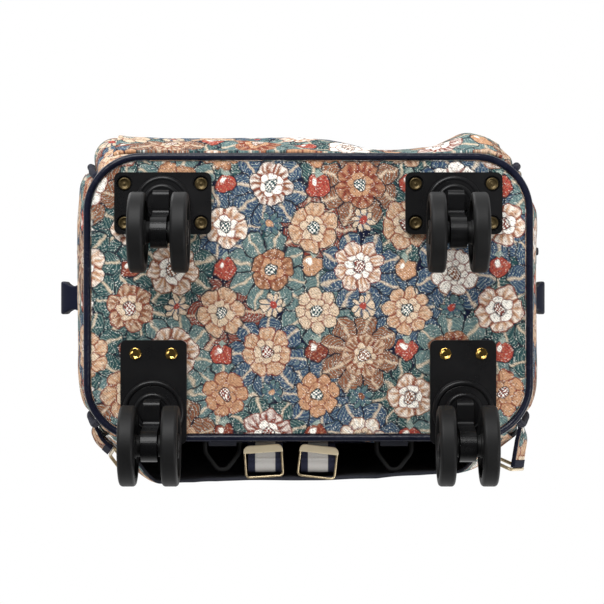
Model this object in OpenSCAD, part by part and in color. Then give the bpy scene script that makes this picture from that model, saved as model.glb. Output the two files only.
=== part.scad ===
// Rolling backpack: a soft tapestry body on four twin-wheel swivel casters, with a
// telescopic handle, stowed shoulder straps behind a back sleeve, and a front pocket.
// Millimetres. The bag stands on its wheels, +Z up, with its front towards -Y.

/* [Base] */
// Width of the base panel at its seam
base_w = 309.5; // [290:0.5:330]
// Depth of the base panel at its seam
base_d = 194.5; // [185:0.5:210]
// Corner radius of the base panel
base_r = 36; // [30:1:44]
// Thickness of the base fabric
base_panel_t = 2; // [1.5:0.5:3]
// Thickness of the stiffening board inside the base
board_t = 3; // [2:0.5:5]
// Inset of the board from the base seam
board_inset = 4; // [3.5:0.5:8]
// Diameter of the welted piping
piping_d = 5.2; // [4:0.2:6]

/* [Body] */
// Height of the fabric body above the base seam
body_h = 425; // [400:5:460]
// Thickness of the padded wall
wall_t = 2.5; // [1.5:0.5:3.5]
// How far the side walls bulge past the base seam
side_bulge = 22; // [14:1:28]
// How far the front wall bulges past the base seam
front_bulge = 20; // [14:1:24]
// How far the back wall bulges past the base seam
back_bulge = 4; // [2:1:6]
// Height over which the walls reach their full bulge
bulge_rise = 110; // [90:5:130]
// Height of the rounded shoulder under the top
shoulder_h = 45; // [35:1:50]
// How far the sides draw in over the shoulder
side_shoulder = 24; // [18:1:28]
// How far the front draws in over the shoulder
front_shoulder = 20; // [14:1:24]
// How far the back draws in over the shoulder
back_shoulder = 8; // [5:1:10]
// Angle round each front corner at which the piped seam runs up
front_seam = 50; // [44:1:60]
// Angle round each back corner at which the piped seam runs up
back_seam = 42; // [40:1:50]

/* [Casters] */
// Height from the floor to the base panel
caster_h = 70; // [68:1:78]
// Wheel diameter
wheel_d = 56; // [50:1:57]
// Width of one wheel
wheel_w = 11.5; // [10:0.5:13]
// Width over both wheels of a caster
twin_w = 41; // [40:0.5:46]
// Radius of the tread's rounded edges
tread_r = 2.5; // [1.5:0.5:3]
// Horizontal distance from swivel axis to axle
trail = 22; // [18:1:24]
// Width of the yoke's arm between the wheels
arm_w = 11.4; // [9:0.2:12.4]
// Diameter of the wheel axle
axle_d = 6; // [5:0.5:7]
// Diameter of the swivel rivet
kingpin_d = 6; // [5:0.5:6.5]
// Diameter of the yoke's top disc
yoke_disc_d = 31; // [26:1:34]
// Distance of the front swivel axes from the base's sides
front_axis_side = 51.25; // [48:0.25:56]
// Distance of the front swivel axes from the front seam
front_axis_inset = 30.5; // [30:0.25:34]
// Width of the front plates
front_plate_w = 69; // [66:1:74]
// Depth of the front plates
front_plate_d = 44; // [42:1:48]
// Thickness of the front plates
front_plate_t = 5; // [4.5:0.5:6]
// Diameter of the front plates' boss
front_boss_d = 36; // [34:1:38]
// Spacing of the front rivets across the plate
front_rivet_w = 54.4; // [52:0.2:56]
// Spacing of the front rivets along the plate
front_rivet_d = 27.9; // [26:0.1:29]
// Distance of the rear swivel axes from the base's sides
rear_axis_side = 44.75; // [42:0.25:50]
// Distance of the rear swivel axes from the back seam
rear_axis_inset = 16.25; // [15:0.25:20]
// Width of the rear plates
rear_plate_w = 47; // [46:1:50]
// Length of the rear plates
rear_plate_l = 74; // [70:1:80]
// Thickness of the rear plates
rear_plate_t = 6; // [5.5:0.5:7]
// How far the rear plates reach past the swivel axis
rear_plate_lip = 23.5; // [23:0.5:26]
// Diameter of the rear plates' boss
rear_boss_d = 44; // [42:1:45]
// Spacing of the two rear rivets
rear_rivet_w = 25.6; // [22:0.2:30]
// Distance of the rear rivets from the plate's front edge
rear_rivet_inset = 9.6; // [8:0.2:12]
// Corner radius of the plates
plate_r = 4.5; // [3:0.5:6]
// Diameter of a plate rivet's head
rivet_head_d = 9.2; // [8:0.2:10]
// Diameter of a plate rivet's shank
rivet_d = 4; // [3:0.5:5]

/* [Telescopic handle] */
// Distance between the two legs of the handle
tube_spacing = 120; // [100:1:140]
// Width of the outer tube
tube_w = 24; // [22:0.5:26]
// Depth of the outer tube
tube_t = 15; // [14:0.5:16]
// Wall of each tube
tube_wall = 1.2; // [1:0.1:1.4]
// Gap between one tube and the next
slide_gap = 0.4; // [0.3:0.05:0.5]
// Distance of the tubes' centre from the back seam
tube_inset = 19.25; // [19:0.25:24]
// Height of the foot that carries the tubes
foot_h = 10; // [8:1:14]
// Height of the bezel on the top panel
bezel_h = 8; // [6:1:12]
// Width of the grip
grip_w = 158; // [152:1:190]
// Depth of the grip
grip_d = 26; // [25:1:30]
// Height of the grip
grip_h = 22; // [20:1:28]
// Width of the release button
button_w = 34; // [26:1:44]
// Depth of the release button
button_d = 12; // [9:1:14]
// Travel of the release button
button_travel = 4; // [3:0.5:5]

/* [Front pocket and zips] */
// Distance of the front pocket's sides from the piped seams, at its lower edge
pocket_margin = 7; // [6:0.5:30]
// Height of the front pocket's lower edge above the base seam
pocket_low = 22; // [16:1:40]
// Height of the front pocket
pocket_h = 238; // [200:2:250]
// How far the front pocket stands out from the wall
pocket_depth = 4; // [3:0.5:10]
// Width of the rounded edge of the pocket
pocket_edge = 22; // [18:1:34]
// Width of a zip's tape
zip_tape_w = 20; // [16:1:24]
// Thickness of a zip's tape
zip_tape_t = 1.2; // [0.8:0.1:1.6]
// Width of a zip's coil
zip_coil_w = 6; // [4:0.5:7]
// Height of a zip's coil above the tape
zip_coil_h = 1.6; // [1:0.1:2]
// Distance of the main zip in front of the bag's middle
main_zip_y = 36; // [30:1:40]
// Height above the base seam at which the main zip ends
main_zip_low = 130; // [115:5:200]
// Height of the pocket zip above the base seam
pocket_zip_h = 296; // [285:1:330]
// Distance of the pocket zip's ends from the pocket's sides
pocket_zip_inset = 22; // [18:1:40]
// Length of a zip's pull
pull_l = 26; // [20:1:34]

/* [Handles] */
// Width of the carrying straps
handle_w = 26; // [22:1:32]
// Thickness of the carrying straps
handle_t = 4; // [3:0.5:6]
// Length of the side handles
side_handle_l = 130; // [110:2:150]
// Height of the side handles' middle above the base seam
side_handle_h = 232; // [205:1:280]
// How far the side handles bow out
side_handle_bow = 20; // [16:1:28]
// Length of the top handle
top_handle_l = 170; // [150:2:200]
// Distance of the top handle behind the bag's middle
top_handle_y = 22; // [14:1:28]
// How far the top handle bows up
top_handle_bow = 26; // [20:1:34]

/* [Straps] */
// Angle from the piped back seams to the sleeve's side seams
sleeve_turn = 16; // [15:1:20]
// Depth of the sleeve's mouth
sleeve_depth = 30.5; // [28:0.5:34]
// Depth of the sleeve under its top seam
sleeve_top_depth = 15; // [12.5:0.5:20]
// Width of the sleeve's sloping gussets
sleeve_gusset = 36; // [28:1:44]
// Height of the sleeve's hem above the base seam
sleeve_hem = 14; // [8:1:20]
// Height of the sleeve's top seam above the base seam
sleeve_top = 385; // [360:5:390]
// Thickness of the sleeve
sleeve_t = 2.2; // [1.5:0.1:2.5]
// Width of a shoulder strap's pad
pad_w = 62; // [50:1:64]
// Thickness of a shoulder strap's pad
pad_t = 9; // [6:0.5:11]
// Place of the left pad across the bag
pad_left_x = -44; // [-50:1:-42]
// Place of the right pad across the bag
pad_right_x = 24; // [22:1:30]
// Width of the strap webbing
webbing_w = 25; // [22:1:28]
// Thickness of the strap webbing
webbing_t = 1.5; // [1.2:0.1:2]
// Place of the left buckle across the bag
buckle_left_x = -31; // [-33:0.5:-28]
// Place of the right buckle across the bag
buckle_right_x = 7; // [4:0.5:12]
// Place of each plastic ring across the bag
ring_x = 62; // [60:0.5:70]
// Inside width of a plastic ring
ring_inner_w = 24; // [22:1:26]
// Length of a plastic ring from its bar to its tip
ring_l = 21; // [18:0.5:22]
// Wire diameter of a plastic ring
ring_wire_d = 3.5; // [3:0.1:4]
// Wire diameter of the metal strap rings
link_wire_d = 2.6; // [2.2:0.1:3]

/* [Hidden] */
$fn = 64;

// Clearances: a hard seat, a sewn-on piece, a part that turns or slides, and a turning pin in its bore
seat_gap = 0.2;
soft_gap = 0.4;
run_gap = 0.3;
pin_gap = 0.06;

// Segments of a quarter corner, sides of a swept tube, and the angle of the top seam on the shoulder
arc_n = 5;
tube_n = 10;
seam_angle = 60;

// Heights above the base seam
top_z = caster_h + body_h;
flat_high = body_h - shoulder_h;
wall_levels = concat(
  [base_panel_t],
  [for (i = [1:5]) bulge_rise * i / 5],
  [for (i = [0:4]) flat_high + shoulder_h * sin(seam_angle * i / 4)]
);
cap_levels = [for (i = [0:2]) flat_high + shoulder_h * sin(lerp(seam_angle, 90, i / 2))];

// Caster sizes, all measured from the swivel axis and the floor
wheel_r = wheel_d / 2;
wheel_inner_x = twin_w / 2 - wheel_w;
disc_low = wheel_d + 1;
disc_t = 4.5;
boss_low = disc_low + disc_t + run_gap;
king_block_d = kingpin_d + 6.4;
king_head_d = kingpin_d + 3;
king_head_t = 2.5;
king_shoulder = disc_low - 7.8;
king_low = king_shoulder - king_head_t;
neck_floor = 1.8;
neck_low = king_low - run_gap - neck_floor;
neck_r = 4;
neck_fillet = 3;
rim_r = 1.2;
arm_end_r = 11;
arm_nose = 8.5;
axle_head_d = axle_d + 3.2;
axle_head_t = 1.6;
axle_recess = 2.2;
clench_t = 1.4;
board_low = caster_h + base_panel_t;
board_top = board_low + board_t;
front_axis_x = base_w / 2 - front_axis_side;
rear_axis_x = base_w / 2 - rear_axis_side;
front_axis_y = -(base_d / 2 - front_axis_inset);
rear_axis_y = base_d / 2 - rear_axis_inset;
casters = [
  [-front_axis_x, front_axis_y], [front_axis_x, front_axis_y],
  [-rear_axis_x, rear_axis_y], [rear_axis_x, rear_axis_y]
];
rear_rivet_y = rear_axis_y + rear_plate_lip - rear_plate_l + rear_rivet_inset;
front_rivets = [for (s = [-1, 1], i = [-1, 1], j = [-1, 1])
  [s * front_axis_x + i * front_rivet_w / 2, front_axis_y + j * front_rivet_d / 2]];
rear_rivets = [for (s = [-1, 1], i = [-1, 1]) [s * rear_axis_x + i * rear_rivet_w / 2, rear_rivet_y]];
counterbore_d = rivet_head_d + 2.4;
counterbore_depth = 2.2;
rivet_head_t = 1.4;

// Telescopic handle
tube_y = base_d / 2 - tube_inset;
socket_depth = 4;
outer_low = board_top + foot_h - socket_depth;
outer_high = top_z - wall_t - seat_gap;
stage_step = tube_wall + slide_gap;
middle_low = outer_low + 3;
middle_high = top_z + bezel_h - 2;
inner_low = middle_low + 3;
grip_low = top_z + seat_gap + bezel_h + run_gap;
tube_grip_depth = 12;
button_h = button_travel + 5;
button_proud = 1;

// The front pocket lies between the piped seams
pocket_w = 2 * (half_w(pocket_low) - corner_at(pocket_low) * (1 - cos(front_seam)) - pocket_margin);
pocket_zip_l = pocket_w - 2 * pocket_zip_inset;

// Zips lie on the wall; their sliders ride on the coil
tape_top = seat_gap + zip_tape_t;
slider_l = 12;
slider_top = zip_coil_h + run_gap + 1.4;
slider_side = 1.2;
pull_pin_d = 1.8;
pull_barrel_d = 3.8;
pull_barrel_w = 4.4;
pull_w = 6;
pull_t = 1.4;
pull_drop = 6;
hinge_h = slider_top + pull_barrel_d / 2 + 0.4;
main_slider_x = slider_l / 2 + pull_barrel_d;
pocket_slider_x = pocket_zip_l / 2 - slider_l;

// The bag is centred on its overall depth, from the pocket or its zip's pull to the sleeve's hem
front_reach = base_d / 2 + front_bulge
  + max(soft_gap + wall_t + pocket_depth, tape_top + hinge_h + pull_barrel_d / 2);
back_reach = back_at(sleeve_hem) + soft_gap + sleeve_depth + sleeve_t;
middle_y = (max(back_reach, rear_axis_y + trail + wheel_r) - front_reach) / 2;

// Straps behind the sleeve
strap_gap = 0.3;
pad_low = 80;
pad_high = sleeve_top - 30;
webbing_front = back_at(sleeve_hem) + 7;
webbing_back = back_reach - sleeve_t - 2.4;
webbing_low = sleeve_hem + 1.6;
webbing_bend = 6;
webbing_end = 58;
buckle_t = 2.2;
buckle_bar = 2;
buckle_top_bar = 5.5;
buckle_w = webbing_w + 4.4;
buckle_window = 16.5;
ring_h = 20;
ring_y = back_at(ring_h) + 5.6;
tab_w = 20;
tab_eye_d = ring_wire_d + 3;
link_w = 27;
link_l = 22;
corner_tab_t = 2.2;
corner_tab_h = 34;
tab_reach = 37;
tab_turn = 10.5;

function lerp(a, b, t) = a + (b - a) * t;
function unit(t) = max(0, min(1, t));
function smooth(t) = let (s = unit(t)) s * s * (3 - 2 * s);
function last(list) = list[len(list) - 1];

// Angle of the wall's slope over the rounded shoulder, 0 on the upright wall
function slope_at(h) = asin(unit((h - flat_high) / shoulder_h));

// How far a wall stands outside the base seam at height h above it
function wall_out(h, bulge, draw_in) =
  h < bulge_rise ? bulge * sin(90 * max(0, h) / bulge_rise) : bulge - draw_in * (1 - cos(slope_at(h)));
function half_w(h) = base_w / 2 + wall_out(h, side_bulge, side_shoulder);
function front_at(h) = base_d / 2 + wall_out(h, front_bulge, front_shoulder);
function back_at(h) = base_d / 2 + wall_out(h, back_bulge, back_shoulder);
function corner_at(h) = base_r + wall_out(h, 0, side_shoulder) / 2;

// Distance of the front or back wall from the middle at x, rounded corners included
function wall_y(x, h, reach) =
  let (r = corner_at(h), over = max(0, abs(x) - (half_w(h) - r)))
    reach - r + sqrt(max(0, r * r - over * over));

// Outline of the body at height h: four walls that meet at the piped seams in the corners
function corner_centre(k, h) =
  let (r = corner_at(h), x = half_w(h) - r, b = back_at(h) - r, f = r - front_at(h))
    [[x, f], [x, b], [-x, b], [-x, f]][k % 4];
function arc(centre, r, from, to, n) =
  [for (i = [0:n]) let (a = lerp(from, to, i / n)) centre + r * [cos(a), sin(a)]];
seams = [-front_seam, back_seam, 180 - back_seam, 180 + front_seam, 360 - front_seam];
function wall_line(k, h, inset) = concat(
  arc(corner_centre(k, h), corner_at(h) - inset, seams[k], 90 * k, arc_n),
  arc(corner_centre(k + 1, h), corner_at(h) - inset, 90 * k, seams[k + 1], arc_n)
);
function outline(h, inset) =
  [for (k = [0:3]) let (line = wall_line(k, h, inset)) for (i = [0:len(line) - 2]) line[i]];
function at_z(points, z) = [for (p = points) [p[0], p[1], z]];
function shell_line(k, h, depth) =
  at_z(wall_line(k, h, depth * cos(slope_at(h))), caster_h + h - depth * sin(slope_at(h)));
function shell_ring(h, depth) =
  at_z(outline(h, depth * cos(slope_at(h))), caster_h + h - depth * sin(slope_at(h)));

// A closed sheet between two grids of points with as many rows and columns
module sheet(outer, inner) {
  rows = len(outer);
  cols = len(outer[0]);
  all = rows * cols;
  function o(j, i) = j * cols + i;
  function n(j, i) = all + j * cols + i;
  skins = [for (j = [0:rows - 2], i = [0:cols - 2]) each [
    [o(j, i), o(j + 1, i), o(j + 1, i + 1)], [o(j, i), o(j + 1, i + 1), o(j, i + 1)],
    [n(j, i), n(j + 1, i + 1), n(j + 1, i)], [n(j, i), n(j, i + 1), n(j + 1, i + 1)]
  ]];
  level_edges = [for (i = [0:cols - 2]) let (t = rows - 1) each [
    [o(0, i), o(0, i + 1), n(0, i + 1)], [o(0, i), n(0, i + 1), n(0, i)],
    [o(t, i + 1), o(t, i), n(t, i)], [o(t, i + 1), n(t, i), n(t, i + 1)]
  ]];
  end_edges = [for (j = [0:rows - 2]) let (m = cols - 1) each [
    [o(j + 1, 0), o(j, 0), n(j, 0)], [o(j + 1, 0), n(j, 0), n(j + 1, 0)],
    [o(j, m), o(j + 1, m), n(j, m)], [o(j + 1, m), n(j + 1, m), n(j, m)]
  ]];
  points = [for (row = outer) each row, for (row = inner) each row];
  polyhedron(points, concat(skins, level_edges, end_edges));
}

// A solid through a list of rings with as many points, capped at both ends or joined into a loop
module loft(rings, loop = false) {
  n = len(rings[0]);
  m = len(rings);
  function v(j, i) = (j % m) * n + i % n;
  sides = [for (j = [0:(loop ? m - 1 : m - 2)], i = [0:n - 1]) each [
    [v(j, i), v(j + 1, i), v(j + 1, i + 1)], [v(j, i), v(j + 1, i + 1), v(j, i + 1)]
  ]];
  caps = loop ? [] : [[for (i = [0:n - 1]) v(0, i)], [for (i = [n - 1:-1:0]) v(m - 1, i)]];
  polyhedron([for (ring = rings) each ring], concat(sides, caps));
}

// A round cord swept along points, each with an outward direction roughly square to the path
module cord(points, outs, d, loop = false) {
  m = len(points);
  function along(j) = loop ? points[(j + 1) % m] - points[(j + m - 1) % m]
    : points[min(j + 1, m - 1)] - points[max(j - 1, 0)];
  loft([for (j = [0:m - 1]) let (t = along(j) / norm(along(j)), o = outs[j] - (outs[j] * t) * t,
    out = o / norm(o), side = cross(t, out)) [for (i = [0:tube_n - 1])
      let (a = 360 * i / tube_n) points[j] + d / 2 * (cos(a) * out + sin(a) * side)]], loop);
}

// Points on a piped seam, at height h and an angle round a corner, and their outward direction
pipe_reach = piping_d / 2 + soft_gap;
pipe_lift = 30;
function corner_out(a, lift) = [cos(a) * cos(lift), sin(a) * cos(lift), sin(lift)];
function on_corner(k, h, a, lift) = let (c = corner_centre(k, h), r = corner_at(h))
  [c[0] + r * cos(a), c[1] + r * sin(a), caster_h + h] + pipe_reach * corner_out(a, lift);

module base_ring() {
  line = [for (k = [0:3], i = [0:9]) [k, 90 * k - 90 + 10 * i]];
  cord([for (p = line) on_corner(p[0], 0, p[1], 0)],
    [for (p = line) corner_out(p[1], 0)], piping_d, loop = true);
}
// Up one corner of wall k, along its top edge and down the other corner
module wall_piping(k) {
  bend = 12;
  high = last(wall_levels);
  turn = bend / corner_at(high) * 180 / PI;
  rise = concat([piping_d], [for (h = wall_levels) if (h > 2 * piping_d && h < high - bend - 4) h]);
  function lift(h) = pipe_lift * unit((h - flat_high) / (high - flat_high));
  up = concat(
    [for (h = rise) [k, h, seams[k]]],
    [for (b = [0:22.5:67.5]) [k, high - bend + bend * sin(b), seams[k] + turn * (1 - cos(b))]],
    [for (i = [0:3]) [k, high, lerp(seams[k] + turn, 90 * k, i / 3)]]
  );
  path = concat(up, [for (i = [len(up) - 1:-1:0]) [k + 1, up[i][1], 180 * k - up[i][2]]]);
  cord([for (p = path) on_corner(p[0], p[1], p[2], lift(p[1]))],
    [for (p = path) corner_out(p[2], lift(p[1]))], piping_d);
}

// A flat rounded plate, and a tube section with round ends
module rounded_plate(w, d, r, t) {
  linear_extrude(t) {
    square([w - 2 * r, d], center = true);
    square([w, d - 2 * r], center = true);
    for (x = [-1, 1], y = [-1, 1]) translate([x * (w / 2 - r), y * (d / 2 - r)]) circle(r);
  }
}
module round_bar(w, d, t) {
  linear_extrude(t) {
    square([w - d, d], center = true);
    for (x = [-1, 1]) translate([x * (w - d) / 2, 0]) circle(d = d);
  }
}
module on_legs() {
  for (x = [-1, 1]) translate([x * tube_spacing / 2, tube_y, 0]) children();
}

// A wire bent into an upright rectangle with rounded corners, on the line from start along a direction
module wire_frame(start, along, length, mid, height, d) {
  r = 1.5 * d;
  corners = [[r, r - height / 2, 180], [length - r, r - height / 2, 270],
    [length - r, height / 2 - r, 0], [r, height / 2 - r, 90]];
  flat = [for (c = corners, a = [0:30:90]) [c[0] + r * cos(c[2] + a), c[1] + r * sin(c[2] + a), c[2] + a]];
  dir = [along[0], along[1], 0];
  cord(
    [for (p = flat) [start[0], start[1], mid] + p[0] * dir + [0, 0, p[1]]],
    [for (p = flat) cos(p[2]) * dir + [0, 0, sin(p[2])]], d, loop = true
  );
}

module placed() {
  translate([0, -middle_y, 0]) children();
}

// Base

module base_outline(inset, t) {
  rounded_plate(base_w - 2 * inset, base_d - 2 * inset, base_r - inset, t);
}
module base_holes() {
  for (p = concat(front_rivets, rear_rivets)) translate([p[0], p[1], caster_h - 1])
    cylinder(d = rivet_d + seat_gap, h = base_panel_t + board_t + 2);
  for (p = casters) translate([p[0], p[1], caster_h - 1])
    cylinder(d = kingpin_d + seat_gap, h = base_panel_t + board_t + 2);
}
module base_panel() {
  color("darkslategray") placed() difference() {
    translate([0, 0, caster_h]) base_outline(0, base_panel_t);
    base_holes();
  }
}
module base_board() {
  color("dimgray") placed() difference() {
    translate([0, 0, board_low]) base_outline(board_inset, board_t);
    base_holes();
  }
}

// Body panels, sewn along the four piped corners and the top seam

module wall_panel(k) {
  color("cadetblue") placed() sheet(
    [for (h = wall_levels) shell_line(k, h, 0)],
    [for (h = wall_levels) shell_line(k, h, wall_t)]
  );
}
module top_panel() {
  rise = cap_levels;
  slot = 2 * stage_step - 2 * run_gap - 1;
  color("cadetblue") placed() difference() {
    loft(concat(
      [for (i = [len(rise) - 1:-1:0]) shell_ring(rise[i], wall_t)],
      [for (h = rise) shell_ring(h, 0)]
    ));
    on_legs() translate([0, 0, top_z - 2 * wall_t])
      round_bar(tube_w - slot, tube_t - slot, 3 * wall_t);
  }
}
module base_piping() {
  color("midnightblue") placed() base_ring();
}
module front_piping() {
  color("midnightblue") placed() wall_piping(3);
}
module back_piping() {
  color("midnightblue") placed() wall_piping(1);
}

// Casters, drawn at their swivel axis and trailing to the back

module at_caster(n) {
  placed() translate([casters[n][0], casters[n][1], 0]) children();
}
module kingpin_hole(low, d) {
  translate([0, 0, low]) cylinder(d = d, h = caster_h - low + 1);
}
// A disc with its lower rim rounded
module rimmed_disc(d, t) {
  rotate_extrude() {
    square([d / 2 - rim_r, t]);
    translate([0, rim_r]) square([d / 2, t - rim_r]);
    translate([d / 2 - rim_r, rim_r]) circle(rim_r);
  }
}
module front_plate() {
  low = caster_h - front_plate_t;
  difference() {
    union() {
      translate([0, 0, low]) rounded_plate(front_plate_w, front_plate_d, plate_r, front_plate_t);
      translate([0, 0, boss_low]) rimmed_disc(front_boss_d, caster_h - boss_low);
    }
    kingpin_hole(boss_low - 1, kingpin_d + 2 * pin_gap);
    for (x = [-1, 1], y = [-1, 1]) translate([x * front_rivet_w / 2, y * front_rivet_d / 2, low - 1]) {
      cylinder(d = counterbore_d, h = counterbore_depth + 1);
      cylinder(d = rivet_d + seat_gap, h = front_plate_t + 2);
    }
  }
}
module rear_plate() {
  low = caster_h - rear_plate_t;
  groove = 1.6;
  difference() {
    union() {
      translate([0, rear_plate_lip - rear_plate_l / 2, low])
        rounded_plate(rear_plate_w, rear_plate_l, plate_r, rear_plate_t);
      translate([0, 0, boss_low]) rimmed_disc(rear_boss_d, caster_h - boss_low);
    }
    translate([0, 0, boss_low - 1]) difference() {
      cylinder(d = rear_boss_d - 4, h = groove + 1);
      translate([0, 0, -1]) cylinder(d = rear_boss_d - 8, h = groove + 3);
    }
    piping_relief();
    kingpin_hole(boss_low - 1, kingpin_d + 2 * pin_gap);
    for (x = [-1, 1]) translate([x * rear_rivet_w / 2, rear_rivet_y - rear_axis_y, low - 1])
      cylinder(d = rivet_d + seat_gap, h = rear_plate_t + 2);
  }
}
// Room over a rear plate's lip for the piping, which bends round the corner of the base
module piping_relief() {
  low = caster_h - piping_d / 2 - run_gap;
  side = rear_plate_w;
  reach = rear_plate_lip + 1;
  edge = base_d / 2 - rear_axis_y - base_r;
  translate([0, 0, low]) linear_extrude(rear_plate_t) difference() {
    translate([-side, edge]) square([2 * side, reach - edge]);
    for (x = [-1, 1]) translate([x * (base_w / 2 - base_r - rear_axis_x), edge]) circle(base_r - seat_gap);
    translate([-side, edge - base_r]) square([2 * side, base_r]);
  }
}
// The arm from the side: a neck under the disc, filleted into the web that carries the axle
module yoke_side() {
  offset(r = -neck_fillet, $fn = 48) offset(r = neck_fillet, $fn = 48) {
    hull() {
      translate([trail, wheel_r]) circle(arm_end_r, $fn = 48);
      translate([arm_nose - 2, disc_low - 1]) square([4, 2]);
    }
    hull() {
      for (y = [neck_r - arm_nose, arm_nose - neck_r])
        translate([y, neck_low + neck_r]) circle(neck_r, $fn = 32);
      translate([-arm_nose, disc_low - 1]) square([2 * arm_nose + 2, 2]);
    }
  }
}
// The yoke is moulded round the head of the swivel rivet and turns on it
module yoke() {
  difference() {
    union() {
      rotate([90, 0, 90]) translate([0, 0, -arm_w / 2]) linear_extrude(arm_w) yoke_side();
      translate([0, 0, disc_low]) rimmed_disc(yoke_disc_d, disc_t);
      translate([0, 0, neck_low + 1]) cylinder(d = king_block_d, h = disc_low - neck_low);
    }
    kingpin_hole(king_shoulder, kingpin_d + 2 * pin_gap);
    translate([0, 0, king_low - run_gap])
      cylinder(d = king_head_d + 2 * run_gap, h = king_head_t + 2 * run_gap);
    translate([0, trail, wheel_r]) rotate([0, 90, 0])
      cylinder(d = axle_d + pin_gap, h = 2 * arm_w, center = true);
  }
}
module swivel_rivet() {
  translate([0, 0, king_low]) cylinder(d = king_head_d, h = king_head_t);
  translate([0, 0, king_shoulder - 1]) cylinder(d = kingpin_d, h = board_top - king_shoulder + 1);
  translate([0, 0, board_top]) cylinder(d = king_head_d, h = clench_t);
}
module axle() {
  translate([0, trail, wheel_r]) rotate([0, 90, 0]) {
    cylinder(d = axle_d, h = twin_w - 2 * axle_recess + axle_head_t, center = true);
    for (s = [0, 180]) rotate([s, 0, 0]) translate([0, 0, twin_w / 2 - axle_recess + seat_gap])
      cylinder(d = axle_head_d, h = axle_head_t);
  }
}
// One wheel on the +X side of the yoke: rounded tread, dished faces, hub boss towards the arm
module wheel() {
  dish_low = axle_head_d + 8;
  dish_high = wheel_d - 12;
  dish = 2.5;
  boss_w = wheel_inner_x - arm_w / 2 - run_gap;
  translate([0, trail, wheel_r]) rotate([0, 90, 0]) translate([0, 0, wheel_inner_x]) difference() {
    union() {
      rotate_extrude() {
        square([wheel_r - tread_r, wheel_w]);
        translate([0, tread_r]) square([wheel_r, wheel_w - 2 * tread_r]);
        for (z = [tread_r, wheel_w - tread_r]) translate([wheel_r - tread_r, z]) circle(tread_r);
      }
      translate([0, 0, -boss_w]) cylinder(d = axle_head_d + 6, h = boss_w + 1);
    }
    translate([0, 0, -boss_w - 1]) cylinder(d = axle_d + 2 * pin_gap, h = wheel_w + boss_w + 2);
    translate([0, 0, wheel_w - axle_recess]) cylinder(d = axle_head_d + 2 * run_gap, h = axle_recess + 1);
    for (z = [-1, wheel_w - dish]) translate([0, 0, z]) difference() {
      cylinder(d = dish_high, h = dish + 1);
      translate([0, 0, -1]) cylinder(d = dish_low, h = dish + 3);
    }
  }
}
module caster_plate(n) {
  color([0.1, 0.1, 0.1]) at_caster(n) if (n < 2) front_plate(); else rear_plate();
}
module caster_yoke(n) {
  color([0.08, 0.08, 0.08]) at_caster(n) yoke();
}
module caster_axle(n) {
  color("silver") at_caster(n) axle();
}
// The outer wheel of a left caster is on its -X side
module caster_wheel(n, outer) {
  flip = outer == (n % 2 == 0);
  color([0.13, 0.13, 0.13]) at_caster(n) mirror([flip ? 1 : 0, 0, 0]) wheel();
}
module swivel_rivets() {
  color("silver") for (n = [0:3]) at_caster(n) swivel_rivet();
}
module plate_rivet(low, head_t) {
  translate([0, 0, low - head_t]) cylinder(d = rivet_head_d, h = head_t);
  translate([0, 0, low - head_t / 2]) cylinder(d = rivet_d, h = board_top - low + head_t / 2);
  translate([0, 0, board_top]) cylinder(d = rivet_head_d - 1, h = clench_t);
}
module plate_rivets() {
  color("goldenrod") placed() {
    for (p = front_rivets) translate([p[0], p[1], 0])
      plate_rivet(caster_h - front_plate_t + counterbore_depth, rivet_head_t);
    for (p = rear_rivets) translate([p[0], p[1], 0]) plate_rivet(caster_h - rear_plate_t, rivet_head_t);
  }
}

// Telescopic handle: the outer tubes stand in a foot on the base board and end under the bezel

module tubes(step, low, high) {
  w = tube_w - 2 * step * stage_step;
  t = tube_t - 2 * step * stage_step;
  color("gainsboro") placed() on_legs() translate([0, 0, low]) difference() {
    round_bar(w, t, high - low);
    translate([0, 0, -1]) round_bar(w - 2 * tube_wall, t - 2 * tube_wall, high - low + 2);
  }
}
module outer_tubes() {
  tubes(0, outer_low, outer_high);
}
module middle_tubes() {
  tubes(1, middle_low, middle_high);
}
module inner_tubes() {
  tubes(2, inner_low, grip_low + tube_grip_depth);
}
module tube_foot() {
  color([0.12, 0.12, 0.12]) placed() difference() {
    translate([0, tube_y, board_top]) round_bar(tube_spacing + tube_w + 10, tube_t + 10, foot_h);
    on_legs() translate([0, 0, outer_low]) round_bar(tube_w + 2 * seat_gap, tube_t + 2 * seat_gap, foot_h);
  }
}
module handle_bezel() {
  bore = 2 * stage_step - 2 * run_gap;
  color([0.12, 0.12, 0.12]) placed() difference() {
    translate([0, tube_y, top_z + seat_gap]) round_bar(tube_spacing + tube_w + 12, tube_t + 11, bezel_h);
    on_legs() translate([0, 0, top_z - 1]) round_bar(tube_w - bore, tube_t - bore, bezel_h + 3);
  }
}
module grip() {
  inner_w = tube_w - 4 * stage_step;
  inner_t = tube_t - 4 * stage_step;
  round = grip_h / 3;
  color([0.12, 0.12, 0.12]) placed() difference() {
    translate([0, tube_y, grip_low]) hull() {
      translate([0, 0, round]) round_bar(grip_w, grip_d, grip_h - 2 * round, $fn = 32);
      round_bar(grip_w - round, grip_d - round, grip_h, $fn = 32);
    }
    on_legs() translate([0, 0, grip_low - 1])
      round_bar(inner_w + 2 * seat_gap, inner_t + 2 * seat_gap, tube_grip_depth + 1 + seat_gap);
    translate([0, tube_y, grip_low + grip_h - button_h - button_travel - run_gap + button_proud])
      round_bar(button_w + 2 * run_gap, button_d + 2 * run_gap, grip_h);
  }
}
module release_button() {
  color("dimgray") placed() translate([0, tube_y, grip_low + grip_h + button_proud - button_h])
    round_bar(button_w, button_d, button_h);
}

// Front pocket and zips

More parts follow.
